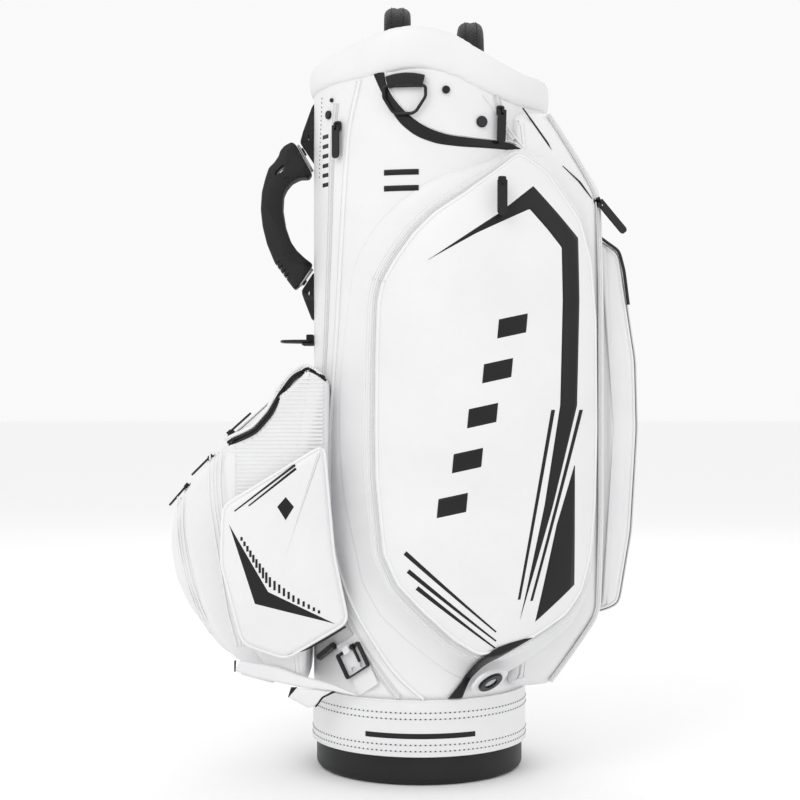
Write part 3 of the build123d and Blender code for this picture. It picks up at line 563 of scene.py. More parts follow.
def collar_grid(shrink=0.0):
    """Section point (a, b) goes to outset = middle + half a (1 + fullness) and height = mid + half
    height b."""
    ring = looped(SECTION)
    flat = tube_point(TURNS, TOP)
    low, high = collar_seam(flat[:, 0]) + shrink, collar_top(flat[:, 0]) - shrink
    half = (high - low) / 2
    bulge = 1 + COLLAR_FULLNESS * np.cos(ring[:, 1] * np.pi / 2) * (ring[:, 0] > 0)
    outset = COLLAR_MIDDLE + (COLLAR_HALF - shrink) * ring[:, 0] * bulge
    heights = (low + high)[:, None] / 2 + half[:, None] * ring[None, :, 1]
    centre, long_half, short_half = tube_axes(TOP)
    x = centre + (long_half + outset)[None, :] * np.cos(TURNS)[:, None]
    y = (short_half + outset)[None, :] * np.sin(TURNS)[:, None]
    return np.stack([x, y, heights], axis=-1)


def collar_seams(points):
    """Within SEWN_EDGE of the lower edge."""
    return points[:, 2] < collar_seam(points[:, 0]) + SEWN_EDGE


collar = piece("padded_collar", [collar_grid(1.0)], WHITE, "band_white", replaces=["top_collar"])
stuffed(collar, collar_seams, voxel=4.0, pressure=4.0, cap=2.4)

# %% [markdown]
# ## Stuffed slabs
# The garment pocket, the ball pockets and the pouches are all an outline with a thickness. Their
# edges are rounded and their faces are crowned, as a filled bag's are. The rings run from the
# middle of the near face, round the edge, along the side and back to the middle of the far face.


# %% Stuffed slabs
def outline_normals(line):
    """Unit normals of a closed outline, pointing away from its middle."""
    ahead = unit(np.roll(line, -1, axis=0) - np.roll(line, 1, axis=0))
    normals = np.stack([ahead[:, 1], -ahead[:, 0]], axis=1)
    outward = ((line - line.mean(axis=0)) * normals).sum(axis=1).mean()
    return normals * np.sign(outward)


def slab(outline, near, far, edge, crown=4.0, bulge=3.0, side_rows=14, cap_rows=14):
    """Rings of a crowned slab: inset edge (1 - cos), y near + edge (1 - sin), and caps crowned by
    1 - s^2."""
    line = looped(outline)
    normals = looped(outline_normals(outline))
    middle = outline.mean(axis=0)
    rings, depths = [], []
    inner = line - normals * edge
    for share in np.linspace(0, 1, cap_rows)[:-1]:
        rings.append(middle + (inner - middle) * share)
        depths.append(np.full(len(line), near - crown * (1 - share**2)))
    for turn in np.linspace(0, np.pi / 2, 8):
        rings.append(inner + normals * edge * np.sin(turn))
        depths.append(np.full(len(line), near + edge * (1 - np.cos(turn))))
    sides = np.linspace(near + edge, far - edge, side_rows)[1:-1]
    for y in sides:
        share = (y - sides[0] + 1e-9) / (sides[-1] - sides[0] + 2e-9)
        rings.append(line + normals * bulge * np.sin(np.pi * share))
        depths.append(np.full(len(line), y))
    for turn in np.linspace(np.pi / 2, 0, 8):
        rings.append(inner + normals * edge * np.sin(turn))
        depths.append(np.full(len(line), far - edge * (1 - np.cos(turn))))
    for share in np.linspace(1, 0, cap_rows)[1:]:
        rings.append(middle + (inner - middle) * share)
        depths.append(np.full(len(line), far + crown * (1 - share**2)))
    rings, depths = np.array(rings), np.array(depths)
    return np.stack([rings[..., 0], depths, rings[..., 1]], axis=-1)


# %% The garment pocket on the right
GARMENT = [(100, 104), (152, 108), (208, 190), (208, 672), (152, 764), (100, 764)]
garment_line = soften(GARMENT, 260, 9)
garment_grid = hug(slab(garment_line, -95, 95, 18, crown=2.0, bulge=2.5))
piece("garment_pocket_skin", [garment_grid], WHITE, "leather_white", replaces=["garment_pocket"])

# %% The narrow pocket on its face
SIDE = [(206, 186), (206, 622), (232, 606), (251, 480), (253, 400), (246, 280), (232, 196)]
side_line = soften(SIDE, 220, 6)
piece(
    "side_pocket_skin", [slab(side_line, -58, 73, 12, crown=4, bulge=1.5)], WHITE, "leather_white",
    replaces=["side_pocket"],
)

# %% The three stepped ball pockets on the spine
BALLS = {
    "inner": ([(-104, 455), (-126, 474), (-162, 440), (-220, 387), (-224, 360), (-221, 330), (-216,
    290), (-208, 240),
               (-200, 190), (-188, 147), (-165, 118), (-132, 104), (-127, 182), (-106, 216)], 104),
    "middle": ([(-200, 378), (-222, 384), (-262, 344), (-270, 318), (-270, 282), (-262, 240),
    (-251, 197), (-235, 162),
                (-213, 138), (-190, 126), (-160, 124), (-160, 170), (-195, 260)], 88),
    "outer": ([(-250, 338), (-262, 340), (-279, 318), (-287, 290), (-288, 262), (-282, 228), (-267,
    196), (-250, 172),
               (-233, 150), (-216, 137), (-205, 148), (-238, 205), (-252, 280)], 72),
}


def slab_depth(line, near, edge, crown):
    """A slab's near face as y of x and z: rounded within edge of the outline, crowned by 1 - s^2
    inside it."""
    middle = line.mean(axis=0)
    away = line - middle
    angles = np.arctan2(away[:, 1], away[:, 0])
    order = np.argsort(angles)
    radii = np.maximum(np.hypot(*away.T)[order] - edge, 1)

    def depth(x, z):
        x, z = np.broadcast_arrays(np.asarray(x, float), np.asarray(z, float))
        rim = np.interp(np.arctan2(z - middle[1], x - middle[0]), angles[order], radii,
            period=2 * np.pi)
        share = np.clip(np.hypot(x - middle[0], z - middle[1]) / rim, 0, 1)
        spot = np.stack([x, z], axis=-1)[..., None, :]
        gap = np.sqrt(((spot - line) ** 2).sum(axis=-1).min(axis=-1))
        fall = np.clip((edge - gap) / edge, 0, 1)
        return near - crown * (1 - share**2) + edge * (1 - np.sqrt(1 - fall**2))

    return depth


ball_depths = {}
for name, (outline, half) in BALLS.items():
    line = soften(outline, 240, 5)
    grid = hug(slab(line, -half, half, 9, crown=3.5, bulge=2.0))
    ball_depths[name] = slab_depth(line, -half, 9, 3.5)
    piece(f"ball_pocket_{name}_skin", [grid], WHITE, "leather_white",
        replaces=[f"ball_pocket_{name}"])

# %% The two pouches on the inner ball pocket
POUCH = [(-109, 383), (-222, 314), (-224, 250), (-200, 160), (-152, 143), (-82, 184), (-98, 260)]
pouch_line = soften(POUCH, 220, 7)
pouch_grid = hug(slab(pouch_line, -121, -100, 7, crown=2.0, bulge=0.5, side_rows=5))
for name, grids in (("near", [pouch_grid]), ("far", flipped([pouch_grid]))):
    pouch = piece(f"pouch_{name}_skin", grids, WHITE, "leather_white",
        replaces=[f"valuables_pouch_{name}"])

# %% [markdown]
# ## The big near pocket
# It stands out from the tube inside a drop-shaped rim, and outside the rim its leather runs back
# down to the wall. One polar grid makes both: a share s runs from 0 in the middle to 1 on the rim
# and 2 where the leather meets the tube, and the depth is a function of that share.

# %% The rim, and the share of the way to it
RIM = [(-39.5, 564), (-26, 588), (-5.5, 616), (17, 638), (51, 660), (84, 685), (109, 705), (138,
    687), (177, 634),
       (190, 588), (196, 524), (197, 400), (195, 322), (190, 263), (179, 221), (161, 197), (125,
       175), (92, 159),
       (64, 156), (37, 173), (4, 203), (-23, 231), (-38, 264), (-46, 346), (-47, 401), (-46, 489),
       (-44, 544)]
HEART = np.array([80.0, 420.0])
rim_line = soften(RIM, 720, 4)


def polar(line):
    """Radius of an outline about the pocket's middle, by angle."""
    away = line - HEART
    angles = np.arctan2(away[:, 1], away[:, 0])
    order = np.argsort(angles)
    return angles[order], np.hypot(*away.T)[order]


RIM_ANGLES, RIM_RADII = polar(rim_line)
SKIRT_ANGLES = np.radians([-180, -150, -115, -95, -75, -55, -30, 0, 30, 50, 65, 80, 90, 100, 120,
    150, 180])
SKIRT_WIDTHS = np.array([46, 48, 46, 44, 30, 12, 4, 3, 3, 4, 14, 20, 24, 38, 48, 46, 46.0])


def rim_radius(angle):
    return np.interp(angle, RIM_ANGLES, RIM_RADII, period=2 * np.pi)


def skirt_width(angle):
    return np.interp(angle, SKIRT_ANGLES, SKIRT_WIDTHS, period=2 * np.pi)


def rim_share(x, z):
    """0 in the middle, 1 on the rim, 2 at the foot of the skirt."""
    angle = np.arctan2(z - HEART[1], x - HEART[0])
    radius = np.hypot(x - HEART[0], z - HEART[1])
    rim = rim_radius(angle)
    return np.where(radius < rim, radius / rim, 1 + (radius - rim) / skirt_width(angle))


# %% The depth of the near side
def base_depth(x, z):
    """The tube's wall or the garment pocket's near face, whichever is further out."""
    over = np.clip(x - 188, 0, 20)
    corner = -95 + 20 - np.sqrt(np.maximum(400 - over**2, 0))
    return np.minimum(tube_depth(x, z), np.where(x > 60, np.where(x > 188, corner, -95), 0.0))


def face_depth(x, z):
    """Front of the pocket: a circle in plan, flatter towards top and bottom."""
    x = np.clip(x, -80, 240)
    plan = 62.24 - np.sqrt(238.62**2 - (x - 46.39) ** 2)
    return plan + 11 * np.abs((z - 430) / 275) ** 3


def near_depth(x, z):
    """Face, a rounded drop at the rim, then a quarter sine down to the base."""
    share = rim_share(x, z)
    base = base_depth(x, z) - 0.4
    face = face_depth(x, z) + 5 * np.clip(share, 0, 1) ** 14
    down = np.sin(np.clip(share - 1, 0, 1) * np.pi / 2) ** 1.15
    return np.minimum(np.where(share < 1, face, face + (base - face) * down), tube_depth(x, z))


# %% The pocket's skin
def pocket_grid():
    angles = np.linspace(-np.pi, np.pi, 401)
    shares = np.concatenate([np.linspace(0, 0.9, 26), np.linspace(0.92, 1.0, 9), np.linspace(1.04,
        2, 22)])
    rim, skirt = rim_radius(angles), skirt_width(angles)
    reach = np.where(shares[:, None] < 1, shares[:, None] * rim,
        rim + (shares[:, None] - 1) * skirt)
    x = HEART[0] + reach * np.cos(angles)
    z = HEART[1] + reach * np.sin(angles)
    front = np.stack([x, near_depth(x, z), z], axis=-1)
    back_share = np.linspace(1, 0, 10)[:, None]
    x = HEART[0] + (rim + skirt) * back_share * np.cos(angles)
    z = HEART[1] + (rim + skirt) * back_share * np.sin(angles)
    back = np.stack([x, base_depth(x, z) + 2.5, z], axis=-1)
    return np.concatenate([front, back])


apparel_grid = pocket_grid()
piece(
    "apparel_pocket_near_skin", [apparel_grid], WHITE, "leather_white",
    replaces=["apparel_pocket_near"]
)
piece(
    "apparel_pocket_far_skin", flipped([apparel_grid]), WHITE, "leather_white",
    replaces=["apparel_pocket_far"]
)

# %% [markdown]
# ## Inlays
# The black shapes are patent leather let into the white. Painting them in the material would need
# a picture or a long mask, so each is a thin closed shell that follows the same depth formula and
# stands 0.35 mm proud, with a rounded edge.


# %% Laying points on a surface
def lay(points, depth, lift=0.0):
    """Points in x and z put on y = depth(x, z), moved out along the normal (dy/dx, -1, dy/dz)."""
    x, z = points[..., 0], points[..., 1]
    step = 0.5
    slope_x = (depth(x + step, z) - depth(x - step, z)) / (2 * step)
    slope_z = (depth(x, z + step) - depth(x, z - step)) / (2 * step)
    normal = unit(np.stack([slope_x, -np.ones_like(x), slope_z], axis=-1))
    lift = np.asarray(lift, float)
    return np.stack([x, depth(x, z), z], axis=-1) + normal * lift[..., None], normal


def inlay(left, right, depth, proud=0.35, rows=90, columns=9, radius=1.0):
    """Strip between two edges: outer face raised by proud (1 - |2u - 1|^6), inner face sunk,
    closed all round."""
    left, right = smooth_path(left, rows, radius), smooth_path(right, rows, radius)
    across = np.linspace(0, 1, columns)
    flat = left[:, None] + (right - left)[:, None] * across[None, :, None]
    raised = proud * (1 - np.abs(2 * across - 1) ** 6)
    outer, _ = lay(flat, depth, np.broadcast_to(raised, flat.shape[:2]))
    inner, _ = lay(flat, depth, np.full(flat.shape[:2], -0.8))
    middle = (outer + inner) / 2
    ends = [np.concatenate([part, part[:, ::-1], part[:, :1]], axis=1) for part in (middle[:1],
        middle[-1:])]
    body = np.concatenate([outer, inner[:, ::-1], outer[:, :1]], axis=1)
    return np.concatenate([ends[0], body, ends[1]])


# %% Black shapes on the near pocket
def chevron_band():
    """Chevron band: its two long edges run between the tips."""
    outer = [(7.5, 587), (86, 639), (124, 670), (152, 641), (176, 615), (177, 545), (174, 428),
        (146, 318), (109, 193)]
    inner = [(7.5, 587), (60, 616), (119.5, 644), (140, 622), (156, 603), (157, 545), (154, 428.5),
        (136, 318), (109, 193)]
    return inlay(inner, outer, near_depth, rows=260, radius=0.3)


band = chevron_band()
stripes = [
    inlay([(143.6, 423), (106.2, 215)], [(148.2, 423), (109.2, 215)], near_depth),
    inlay([(176.6, 423), (120.2, 213)], [(181.2, 423), (123.2, 213)], near_depth),
    inlay([(171.5, 361), (171.5, 300), (171.5, 228)], [(170.5, 361), (150, 296), (126, 189)],
    near_depth),
]
for start, end in (((-17.5, 266.3), (82.3, 179.6)), ((-14.2, 246.4), (82.4, 169.3)), ((-4.4, 227.9),
    (81.5, 161.3))):
    first, last = np.array(start), np.array(end)
    side = unit(np.array([(last - first)[1], -(last - first)[0]]))
    stripes.append(inlay([first + side * 2.6, last + side * 0.9], [first - side * 2.6,
        last - side * 0.9], near_depth))
piece("near_inlays", [band] + stripes, GLOSS, "leather_black")
piece("far_inlays", flipped([band] + stripes), GLOSS, "leather_black")

# %% [markdown]
# ## Piping, zips and stitches
# A bag is read by its lines. Piping is a cord sewn into the seam. A zip is a flat tape with a
# nylon coil, whose radius swells once each pitch, so its teeth are real geometry. Stitches are
# small bars set along a path. All three stand on the surface's normal.


# %% Lines that stand on the leather
def spread(values, path, count):
    """Values along a path read at even lengths."""
    along = np.concatenate([[0], np.cumsum(np.linalg.norm(np.diff(path, axis=0), axis=1))])
    places = np.linspace(0, along[-1], count)
    return np.stack([np.interp(places, along, column) for column in values.T], axis=1)


def piping(path, normal, radius=1.7):
    return carry(path + normal * radius * 0.3, superellipse(radius, radius, 12), normal)


def zip_grids(path, normal, coil=1.5, tape=9.0, pitch=2.6, bow=0.9):
    """Tape of a flat section, two raised selvedges, and a coil of radius coil (1 + 0.2 sin(2 pi s
    / pitch))."""
    length = np.linalg.norm(np.diff(path, axis=0), axis=1).sum()
    count = max(int(length / pitch * 4), 8)
    fine, fine_normal = spread(path, path, count), unit(spread(normal, path, count))
    swell = 1 + 0.2 * np.sin(np.arange(count) * np.pi / 2)
    edge = superellipse(0.7, 0.7, 8)
    return {
        "tape": [carry(path, superellipse(tape / 2, 0.55, 16, 3.0, rise=0.1), normal)],
        "coil": [carry(fine, superellipse(coil, coil * 0.75, 8, rise=bow), fine_normal, swell)],
        "edge": [
            carry(path, edge + np.array([side * tape / 2, 0.35]), normal) for side in (-1, 1)
        ],
    }


def stitch_grids(path, normal, spacing=5.0, length=3.0, radius=0.42, shift=0.0):
    """Small bars: a 6-sided section carried over five places, the same grid moved to each
    stitch."""
    total = np.linalg.norm(np.diff(path, axis=0), axis=1).sum()
    count = max(int(total / spacing), 2)
    along = np.linspace(0, 1, count, endpoint=False) + shift / count
    places = along * (len(path) - 1)
    low = np.clip(places.astype(int), 0, len(path) - 2)
    part = (places - low)[:, None]
    centre = path[low] * (1 - part) + path[low + 1] * part
    ahead = unit(path[low + 1] - path[low])
    up = unit(normal[low])
    side = unit(np.cross(ahead, up))
    bar = np.linspace(-length / 2, length / 2, 5)
    bar_path = np.stack([bar, 0 * bar, 0.3 - (bar / length) ** 2 * 1.6], axis=1)
    local = carry(bar_path, superellipse(radius, radius, 6), (0, 0, 1))
    placed = (
        local[None, ..., :1] * ahead[:, None, None]
        + local[None, ..., 1:2] * side[:, None, None]
        + local[None, ..., 2:] * up[:, None, None]
        + centre[:, None, None]
    )
    return list(placed)


def both(name, grids, look, slot, **more):
    """The same thing on the near side and mirrored on the far side."""
    return [piece(f"{name}_near", grids, look, slot, **more), piece(f"{name}_far", flipped(grids),
        look, slot, **more)]


def both_zip(name, made, node):
    """A zip's tape and coil on both sides; its near tape stands for a node of the frame."""
    both(f"{name}_tape", made["tape"] + made["edge"], TAPE, "tape_white")
    both(f"{name}_coil", made["coil"], COIL, "tape_white")
    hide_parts(node)


# %% Rim piping and the pocket's zip
def rim_path(offset, count=420):
    line = resample(rim_line, count, closed=True)
    width = skirt_width(np.arctan2(line[:, 1] - HEART[1], line[:, 0] - HEART[0]))
    share = np.interp(width, (4.0, 30.0), (0.15, 1.0))[:, None]
    line = line + outline_normals(line) * offset * share
    return lay(looped(line), near_depth)


rim_piping = piping(*rim_path(1.0), radius=1.7)
outer_piping = [piping(*rim_path(offset), radius=size) for offset, size in ((12.5, 0.9), (15.5,
    0.9))]
both("rim_piping", [rim_piping] + outer_piping, PIPING, "leather_white")
main_zip = zip_grids(*rim_path(7.0), coil=1.5, tape=8.0)
both_zip("rim_zip", main_zip, "zip_tape_apparel")

# %% Piping and zip down the near side of the spine
SPINE_SEAM = [(-68, 797), (-81, 742), (-87, 651), (-95, 503), (-103, 412), (-104, 353), (-103, 286),
    (-95, 247),
              (-85, 217), (-71, 189), (-51, 159), (-30, 128), (-14, 113), (4, 98)]
SPINE_ZIP = [(-96, 775), (-100, 740), (-102, 700), (-104, 630), (-109, 504), (-113, 430), (-114,
    350), (-112, 280),
             (-104, 240), (-94, 208), (-80, 178), (-60, 146), (-40, 118), (-24, 99)]


seam_path = lay(smooth_path(SPINE_SEAM, 200, 12), tube_depth)
twin_path = lay(smooth_path([(x - 4.5, z) for x, z in SPINE_SEAM], 200, 12), tube_depth)
both("spine_piping", [piping(*seam_path, radius=2.0), piping(*twin_path, radius=0.8)], PIPING,
    "leather_white")
spine_zip = zip_grids(*lay(smooth_path(SPINE_ZIP, 200, 12), tube_depth), coil=1.3, tape=8.0)
both_zip("spine_zip", spine_zip, "zip_tape_body")

# %% The yoke: black arc and the seams above the big pocket
ARC_LOW = [(-53, 802), (-46, 785), (-38, 768.5), (-24, 745), (-5, 729.5), (18.5, 721), (48, 718.5),
    (104.6, 719), (114, 719.5)]
ARC_HIGH = [(-41, 804), (-38.8, 787.7), (-31, 773.8), (-18.8, 759), (-5, 747), (10, 738), (32, 731),
    (64, 728.5),
            (96.5, 728), (105.5, 728), (114, 719.5)]
yoke = inlay(ARC_LOW, ARC_HIGH, near_depth, proud=0.9, rows=180, columns=11, radius=7)
both("yoke_inlay", [yoke], GLOSS, "leather_black")
yoke_edge = lay(smooth_path([(x + 1.5, z + 1.5) for x, z in ARC_HIGH], 120, 6), near_depth)
neck_seam = lay(smooth_path([(70, 779), (92, 755), (116, 724), (150, 690), (182, 640)], 120, 8),
    near_depth)
neck_seams = [piping(*yoke_edge, radius=0.8), piping(*neck_seam, radius=0.9)]
both("yoke_piping", neck_seams, PIPING, "leather_white")
upper_zip = zip_grids(*lay(smooth_path([(86, 779), (91, 762), (97, 742), (106, 730)], 60, 4),
    near_depth), coil=1.2, tape=7.0)
both_zip("upper_zip", upper_zip, "zip_tape_upper")

# %% Black trim at the foot of the big pocket
TRIM_OUT = [(31, 99), (46, 117), (65, 147), (82, 161), (100, 167), (123, 171.5)]
TRIM_IN = [(47, 99), (55, 118), (72, 138), (88, 149), (104, 159), (123, 171.5)]


def over_rim(x, z):
    """The near side with the zip's height added, so that the trim covers it: the least of three
    places near by."""
    near_by = [near_depth(x + step, z + step) for step in (-5.0, 0.0, 5.0)]
    return np.minimum.reduce(near_by) - 1.6


trim = inlay(TRIM_OUT, TRIM_IN, over_rim, proud=0.9, rows=110, radius=4)
both("foot_trim", [trim], GLOSS, "leather_black")

# %% Seams and the zip round the garment pocket
GARMENT_SEAM = [(150, 763), (186, 706), (207, 668), (210, 560), (210, 420), (210, 300), (207, 188),
    (180, 148), (152, 110)]


def garment_seam(y, inset):
    """Seam round the garment pocket's outline at depth y, drawn in by inset."""
    line = smooth_path(GARMENT_SEAM, 220, 10)
    ahead = unit(np.gradient(line, axis=0))
    normal = np.stack([-ahead[:, 1], ahead[:, 0]], axis=1)
    line = line - normal * inset
    return at_depth(line, y), unit(at_depth(normal, 0.6 * np.sign(y)))


garment_lines = [piping(*garment_seam(y, inset), radius=size) for y, inset, size in
                 ((-84.5, 2.0, 1.6), (84.5, 2.0, 1.6), (-74, -0.6, 0.9), (74, -0.6, 0.9))]
piece("garment_piping", garment_lines, PIPING, "leather_white")
garment_zip = zip_grids(*garment_seam(-90.5, 4.5), coil=1.4, tape=8.0)
garment_far_zip = zip_grids(*garment_seam(90.5, 4.5), coil=1.4, tape=8.0)
piece(
    "garment_zip_tape",
    garment_zip["tape"] + garment_zip["edge"] + garment_far_zip["tape"] + garment_far_zip["edge"],
    TAPE, "tape_white", replaces=["zip_tape_garment"],
)
piece("garment_zip_coil", garment_zip["coil"] + garment_far_zip["coil"], COIL, "tape_white")

# %% Black edges on the garment pocket's shoulder
shoulder = [
    inlay([(116, 767), (144.5, 726), (150, 719)], [(118, 767), (146.5, 727), (150, 719)],
    near_depth),
    inlay([(161.7, 701), (180, 683), (195, 664)], [(163, 701), (183, 683), (197, 663)], near_depth),
]
both("shoulder_inlay", shoulder, GLOSS, "leather_black")

# %% Piping and trims of the side pocket
side_loop = looped(side_line)
side_normal = looped(outline_normals(side_line))


def side_line_at(y, inset, lean):
    line = side_loop - side_normal * inset
    return at_depth(line, y), unit(at_depth(side_normal, lean))


side_lines = [piping(*side_line_at(-54.5, 3.2, -1.0), radius=1.3),
    piping(*side_line_at(69.5, 3.2, 1.0), radius=1.3)]
piece("side_pocket_piping", side_lines, PIPING, "leather_white")
side_zip = zip_grids(*side_line_at(-44.0, -1.2, 0.0), coil=1.3, tape=7.0)
piece("side_pocket_zip_tape", side_zip["tape"] + side_zip["edge"], TAPE, "tape_white")
piece("side_pocket_zip_coil", side_zip["coil"], COIL, "tape_white")
top_trim = np.array([(208, -57, 625), (220, -57, 616), (232, -56, 608), (238, -56, 585), (243, -56,
    545)])
trim_path = smooth_path(top_trim, 60, 4)
piece(
    "side_pocket_trim", [carry(trim_path, superellipse(2.2, 0.8, 12, 3), (0.5, -1, 0.6))], GLOSS,
    "leather_black"
)

# %% [markdown]
# ## The ball pockets' lines
# Ribs on the upper near panel, a black double zip along its top edge, ridges between the units
# and the printed shapes on the pouch. The ribs are thin bars 4 mm apart, laid on the panel.


# %% Ribs, S-shaped zip and ridges
def flat_depth(y):
    """A plane facing the near side."""
    return lambda x, z: np.full(np.broadcast(x, z).shape, float(y))


S_LINE = [(-218, 386), (-188, 400), (-170, 421), (-156.7, 447), (-144, 463), (-126, 471), (-109,
    459)]
s_path, s_normal = lay(smooth_path(S_LINE, 150, 5), ball_depths["inner"], 0.9)
s_normal = unit(s_normal + np.array([-0.2, 0, 0.25]))
s_bands = [carry(s_path + np.array([dx, 0, dz]), superellipse(1.8, 1.3, 12, 3), s_normal)
           for dx, dz in ((0.0, 0.0), (1.6, -3.1))]
both("ball_zip_band", s_bands, GLOSS, "leather_black")
s_edge = carry(s_path + np.array([-2.9, -0.6, 3.6]), superellipse(2.0, 1.5, 14), s_normal)
TOP_CURVE_OF_PANEL = smooth_path(S_LINE, 200, 5)
RISING = TOP_CURVE_OF_PANEL[:160]


def rib_grid(z):
    """One rib from the panel's left edge to its right edge at height z."""
    left = np.interp(z + 9, RISING[:, 1], RISING[:, 0]) if z > 372 else -210.0
    line = np.linspace(left, -109, 30)
    path, normal = lay(np.stack([line, np.full(30, z)], axis=1), ball_depths["inner"])
    return carry(path, superellipse(1.5, 0.13, 8), normal)


ribs = [rib_grid(z) for z in np.arange(316, 462, 4.6)]
both("ball_ribs", ribs + [s_edge], WHITE, "leather_white")


def ridge_grids(line, steps, depth):
    """Cords side by side: the same line moved left by each step and laid on the pocket's face."""
    made = []
    for step, size in steps:
        path, normal = lay(smooth_path([(x - step, z) for x, z in line], 110, 8), depth)
        made.append(carry(path, superellipse(size, size, 10), normal))
    return made


MIDDLE_RIDGE = [(-227, 374), (-229, 345), (-227, 315), (-222, 285), (-214, 238), (-206, 190), (-196,
    152)]
OUTER_RIDGE = [(-273, 322), (-274, 290), (-270, 258), (-262, 222), (-250, 188), (-236, 164)]
ridges = ridge_grids(MIDDLE_RIDGE, ((0, 1.1), (5.0, 0.8), (8.5, 0.8), (13.5, 1.1)),
    ball_depths["middle"])
ridges += ridge_grids(OUTER_RIDGE, ((0, 0.9), (4.0, 0.7), (7.0, 0.9)), ball_depths["outer"])
both("ball_ridges", ridges, PIPING, "leather_white")


# %% Zips over the tops of the middle and outer ball pockets
def over_zip(x, z, half, normal):
    """Zip across the bag at one place of a ball pocket's sloping top."""
    y = np.linspace(-half, half, 60)
    path = np.stack([np.full(60, x), y, np.full(60, z)], axis=1)
    return zip_grids(path, np.broadcast_to(unit(np.array(normal, float)), path.shape), coil=1.3,
        tape=8.0, bow=0.3)


ball_zips = [over_zip(-242, 364.0, 76, (-0.707, 0, 0.707)), over_zip(-271, 329.6, 60, (-0.756, 0,
    0.654))]
inner_run = np.linspace(0, 1, 60)[:, None]
inner_path = np.array([-216, -95, 391.5]) * (1 - inner_run) + np.array([-168, -95,
    434.7]) * inner_run
ball_zips.append(zip_grids(inner_path, np.broadcast_to((-0.669, 0, 0.743), inner_path.shape),
    coil=1.3, tape=8.0, bow=0.3))
piece(
    "ball_zip_tape", [grid for made in ball_zips for grid in made["tape"] + made["edge"]], TAPE,
    "tape_white",
    replaces=["zip_tape_balls"],
)
piece("ball_zip_coil", [grid for made in ball_zips for grid in made["coil"]], COIL, "tape_white")

# %% The pouch: piping, stripes, chevron and a row of short dashes
pouch_path = hug(at_depth(looped(pouch_line), -116.5), 0)
pouch_normal = unit(at_depth(looped(outline_normals(pouch_line)), -1.0))
both("pouch_piping", [piping(pouch_path, pouch_normal, radius=1.9)], PIPING, "leather_white")


pouch_depth = slab_depth(pouch_line, -121, 7, 2.0)


def stripe(start, end, wide, narrow, depth):
    first, last = np.array(start, float), np.array(end, float)
    side = unit(np.array([(last - first)[1], -(last - first)[0]]))
    return inlay([first + side * wide / 2, last + side * narrow / 2],
                 [first - side * wide / 2, last - side * narrow / 2], depth, rows=40, columns=7)


pouch_marks = [
    stripe((-209, 309), (-141, 361), 1.6, 3.0, pouch_depth),
    stripe((-193, 315), (-140, 357), 1.6, 3.0, pouch_depth),
    inlay([(-215, 293.7), (-186, 205), (-96, 182.5)], [(-215, 293.7), (-171, 218.5), (-96, 182.5)],
    pouch_depth,
          rows=200, columns=9, radius=0.3),
]
DASHES = smooth_path([(-201, 274), (-186, 249), (-170, 226), (-143, 207), (-114, 192)], 20, 3)
dash_size = np.interp(np.arange(20), (0, 7, 8, 19), (4.0, 12.0, 12.0, 3.5))
for (x, z), size in zip(DASHES, dash_size):
    pouch_marks.append(stripe((x, z - size / 2 + 4), (x, z + size / 2 + 4), 2.8, 2.8, pouch_depth))
pouch_marks.append(inlay([(-151.4, 325), (-161, 314), (-151.4, 299)], [(-151.4, 325), (-142, 314),
    (-151.4, 299)], pouch_depth,
                         rows=40, radius=0.3))
both("pouch_inlay", pouch_marks, GLOSS, "leather_black")
# Painted shadow: a black cord just under the pouch's bulging lower edge stands in for the shadow line
# beneath it.
under_shadow_line = smooth_path([(-150, 148), (-129, 154), (-106.6, 166), (-84, 180)], 60, 4)
under_shadow_path = np.stack([under_shadow_line[:, 0], np.full(60, -117.0), under_shadow_line[:, 1] - 1.0], axis=1)
both("pouch_under_shadow", [carry(under_shadow_path, superellipse(1.2, 1.2, 10), (0, -1, 0))], GLOSS,
    "leather_black")

# %% [markdown]
# ## Plain marks in place of lettering
# The real bag is printed with words and badges. They are left out, and plain slanted bars take
# the same room, so that the black and white balance of the side stays.

# %% Plain slanted bars
marks = []
for share in np.linspace(0, 1, 5):
    x, z = 34 + 66 * share, 318 + 196 * share
    marks.append(inlay([(x - 17, z - 13), (x + 15, z - 6)], [(x - 15, z + 8), (x + 17, z + 15)],
        near_depth,
                       rows=60, columns=9, radius=0.6))
both("plain_bars", marks, GLOSS, "leather_black")
neck_marks = [
    inlay([(-41, z - 3.2), (-2, z - 3.2)], [(-41, z + 3.2), (-2, z + 3.2)], near_depth, rows=50,
    columns=7, radius=0.6)
    for z in (690, 672)
]
both("neck_bars", neck_marks, GLOSS, "leather_black")
spine_marks = [
    inlay([(-113, z - 2.4), (-106, z - 2.4)], [(-113, z + 2.4), (-106, z + 2.4)], tube_depth,
    rows=24, columns=7, radius=0.5)
    for z in np.linspace(740, 684, 6)
]
both("spine_bars", spine_marks, GLOSS, "leather_black")
panel_seam, panel_normal = lay(smooth_path([(-114, 786), (-116, 740), (-117.5, 690)], 80, 3),
    tube_depth)
# Dark bars along the seam: painted shade of the needle holes.
panel_hole_shades = stitch_grids(panel_seam, panel_normal, spacing=5.0, length=1.4, radius=0.5)
both("spine_needle_hole_shade", panel_hole_shades, HOLE_SHADE, "leather_white")

# %% [markdown]
# ## Base band
# The band is two rows of lockstitch at the top and two at the bottom. White thread sinks at both
# ends, and each end has a needle hole, drawn as a dark bar of painted shade.


# %% Stitches round the band
def ring_path(radius, z, count=240):
    turn = np.linspace(0, 2 * np.pi, count + 1)
    path = np.stack([radius * np.cos(turn), radius * np.sin(turn), np.full(count + 1, z)], axis=1)
    return path, np.stack([np.cos(turn), np.sin(turn), 0 * turn], axis=1)


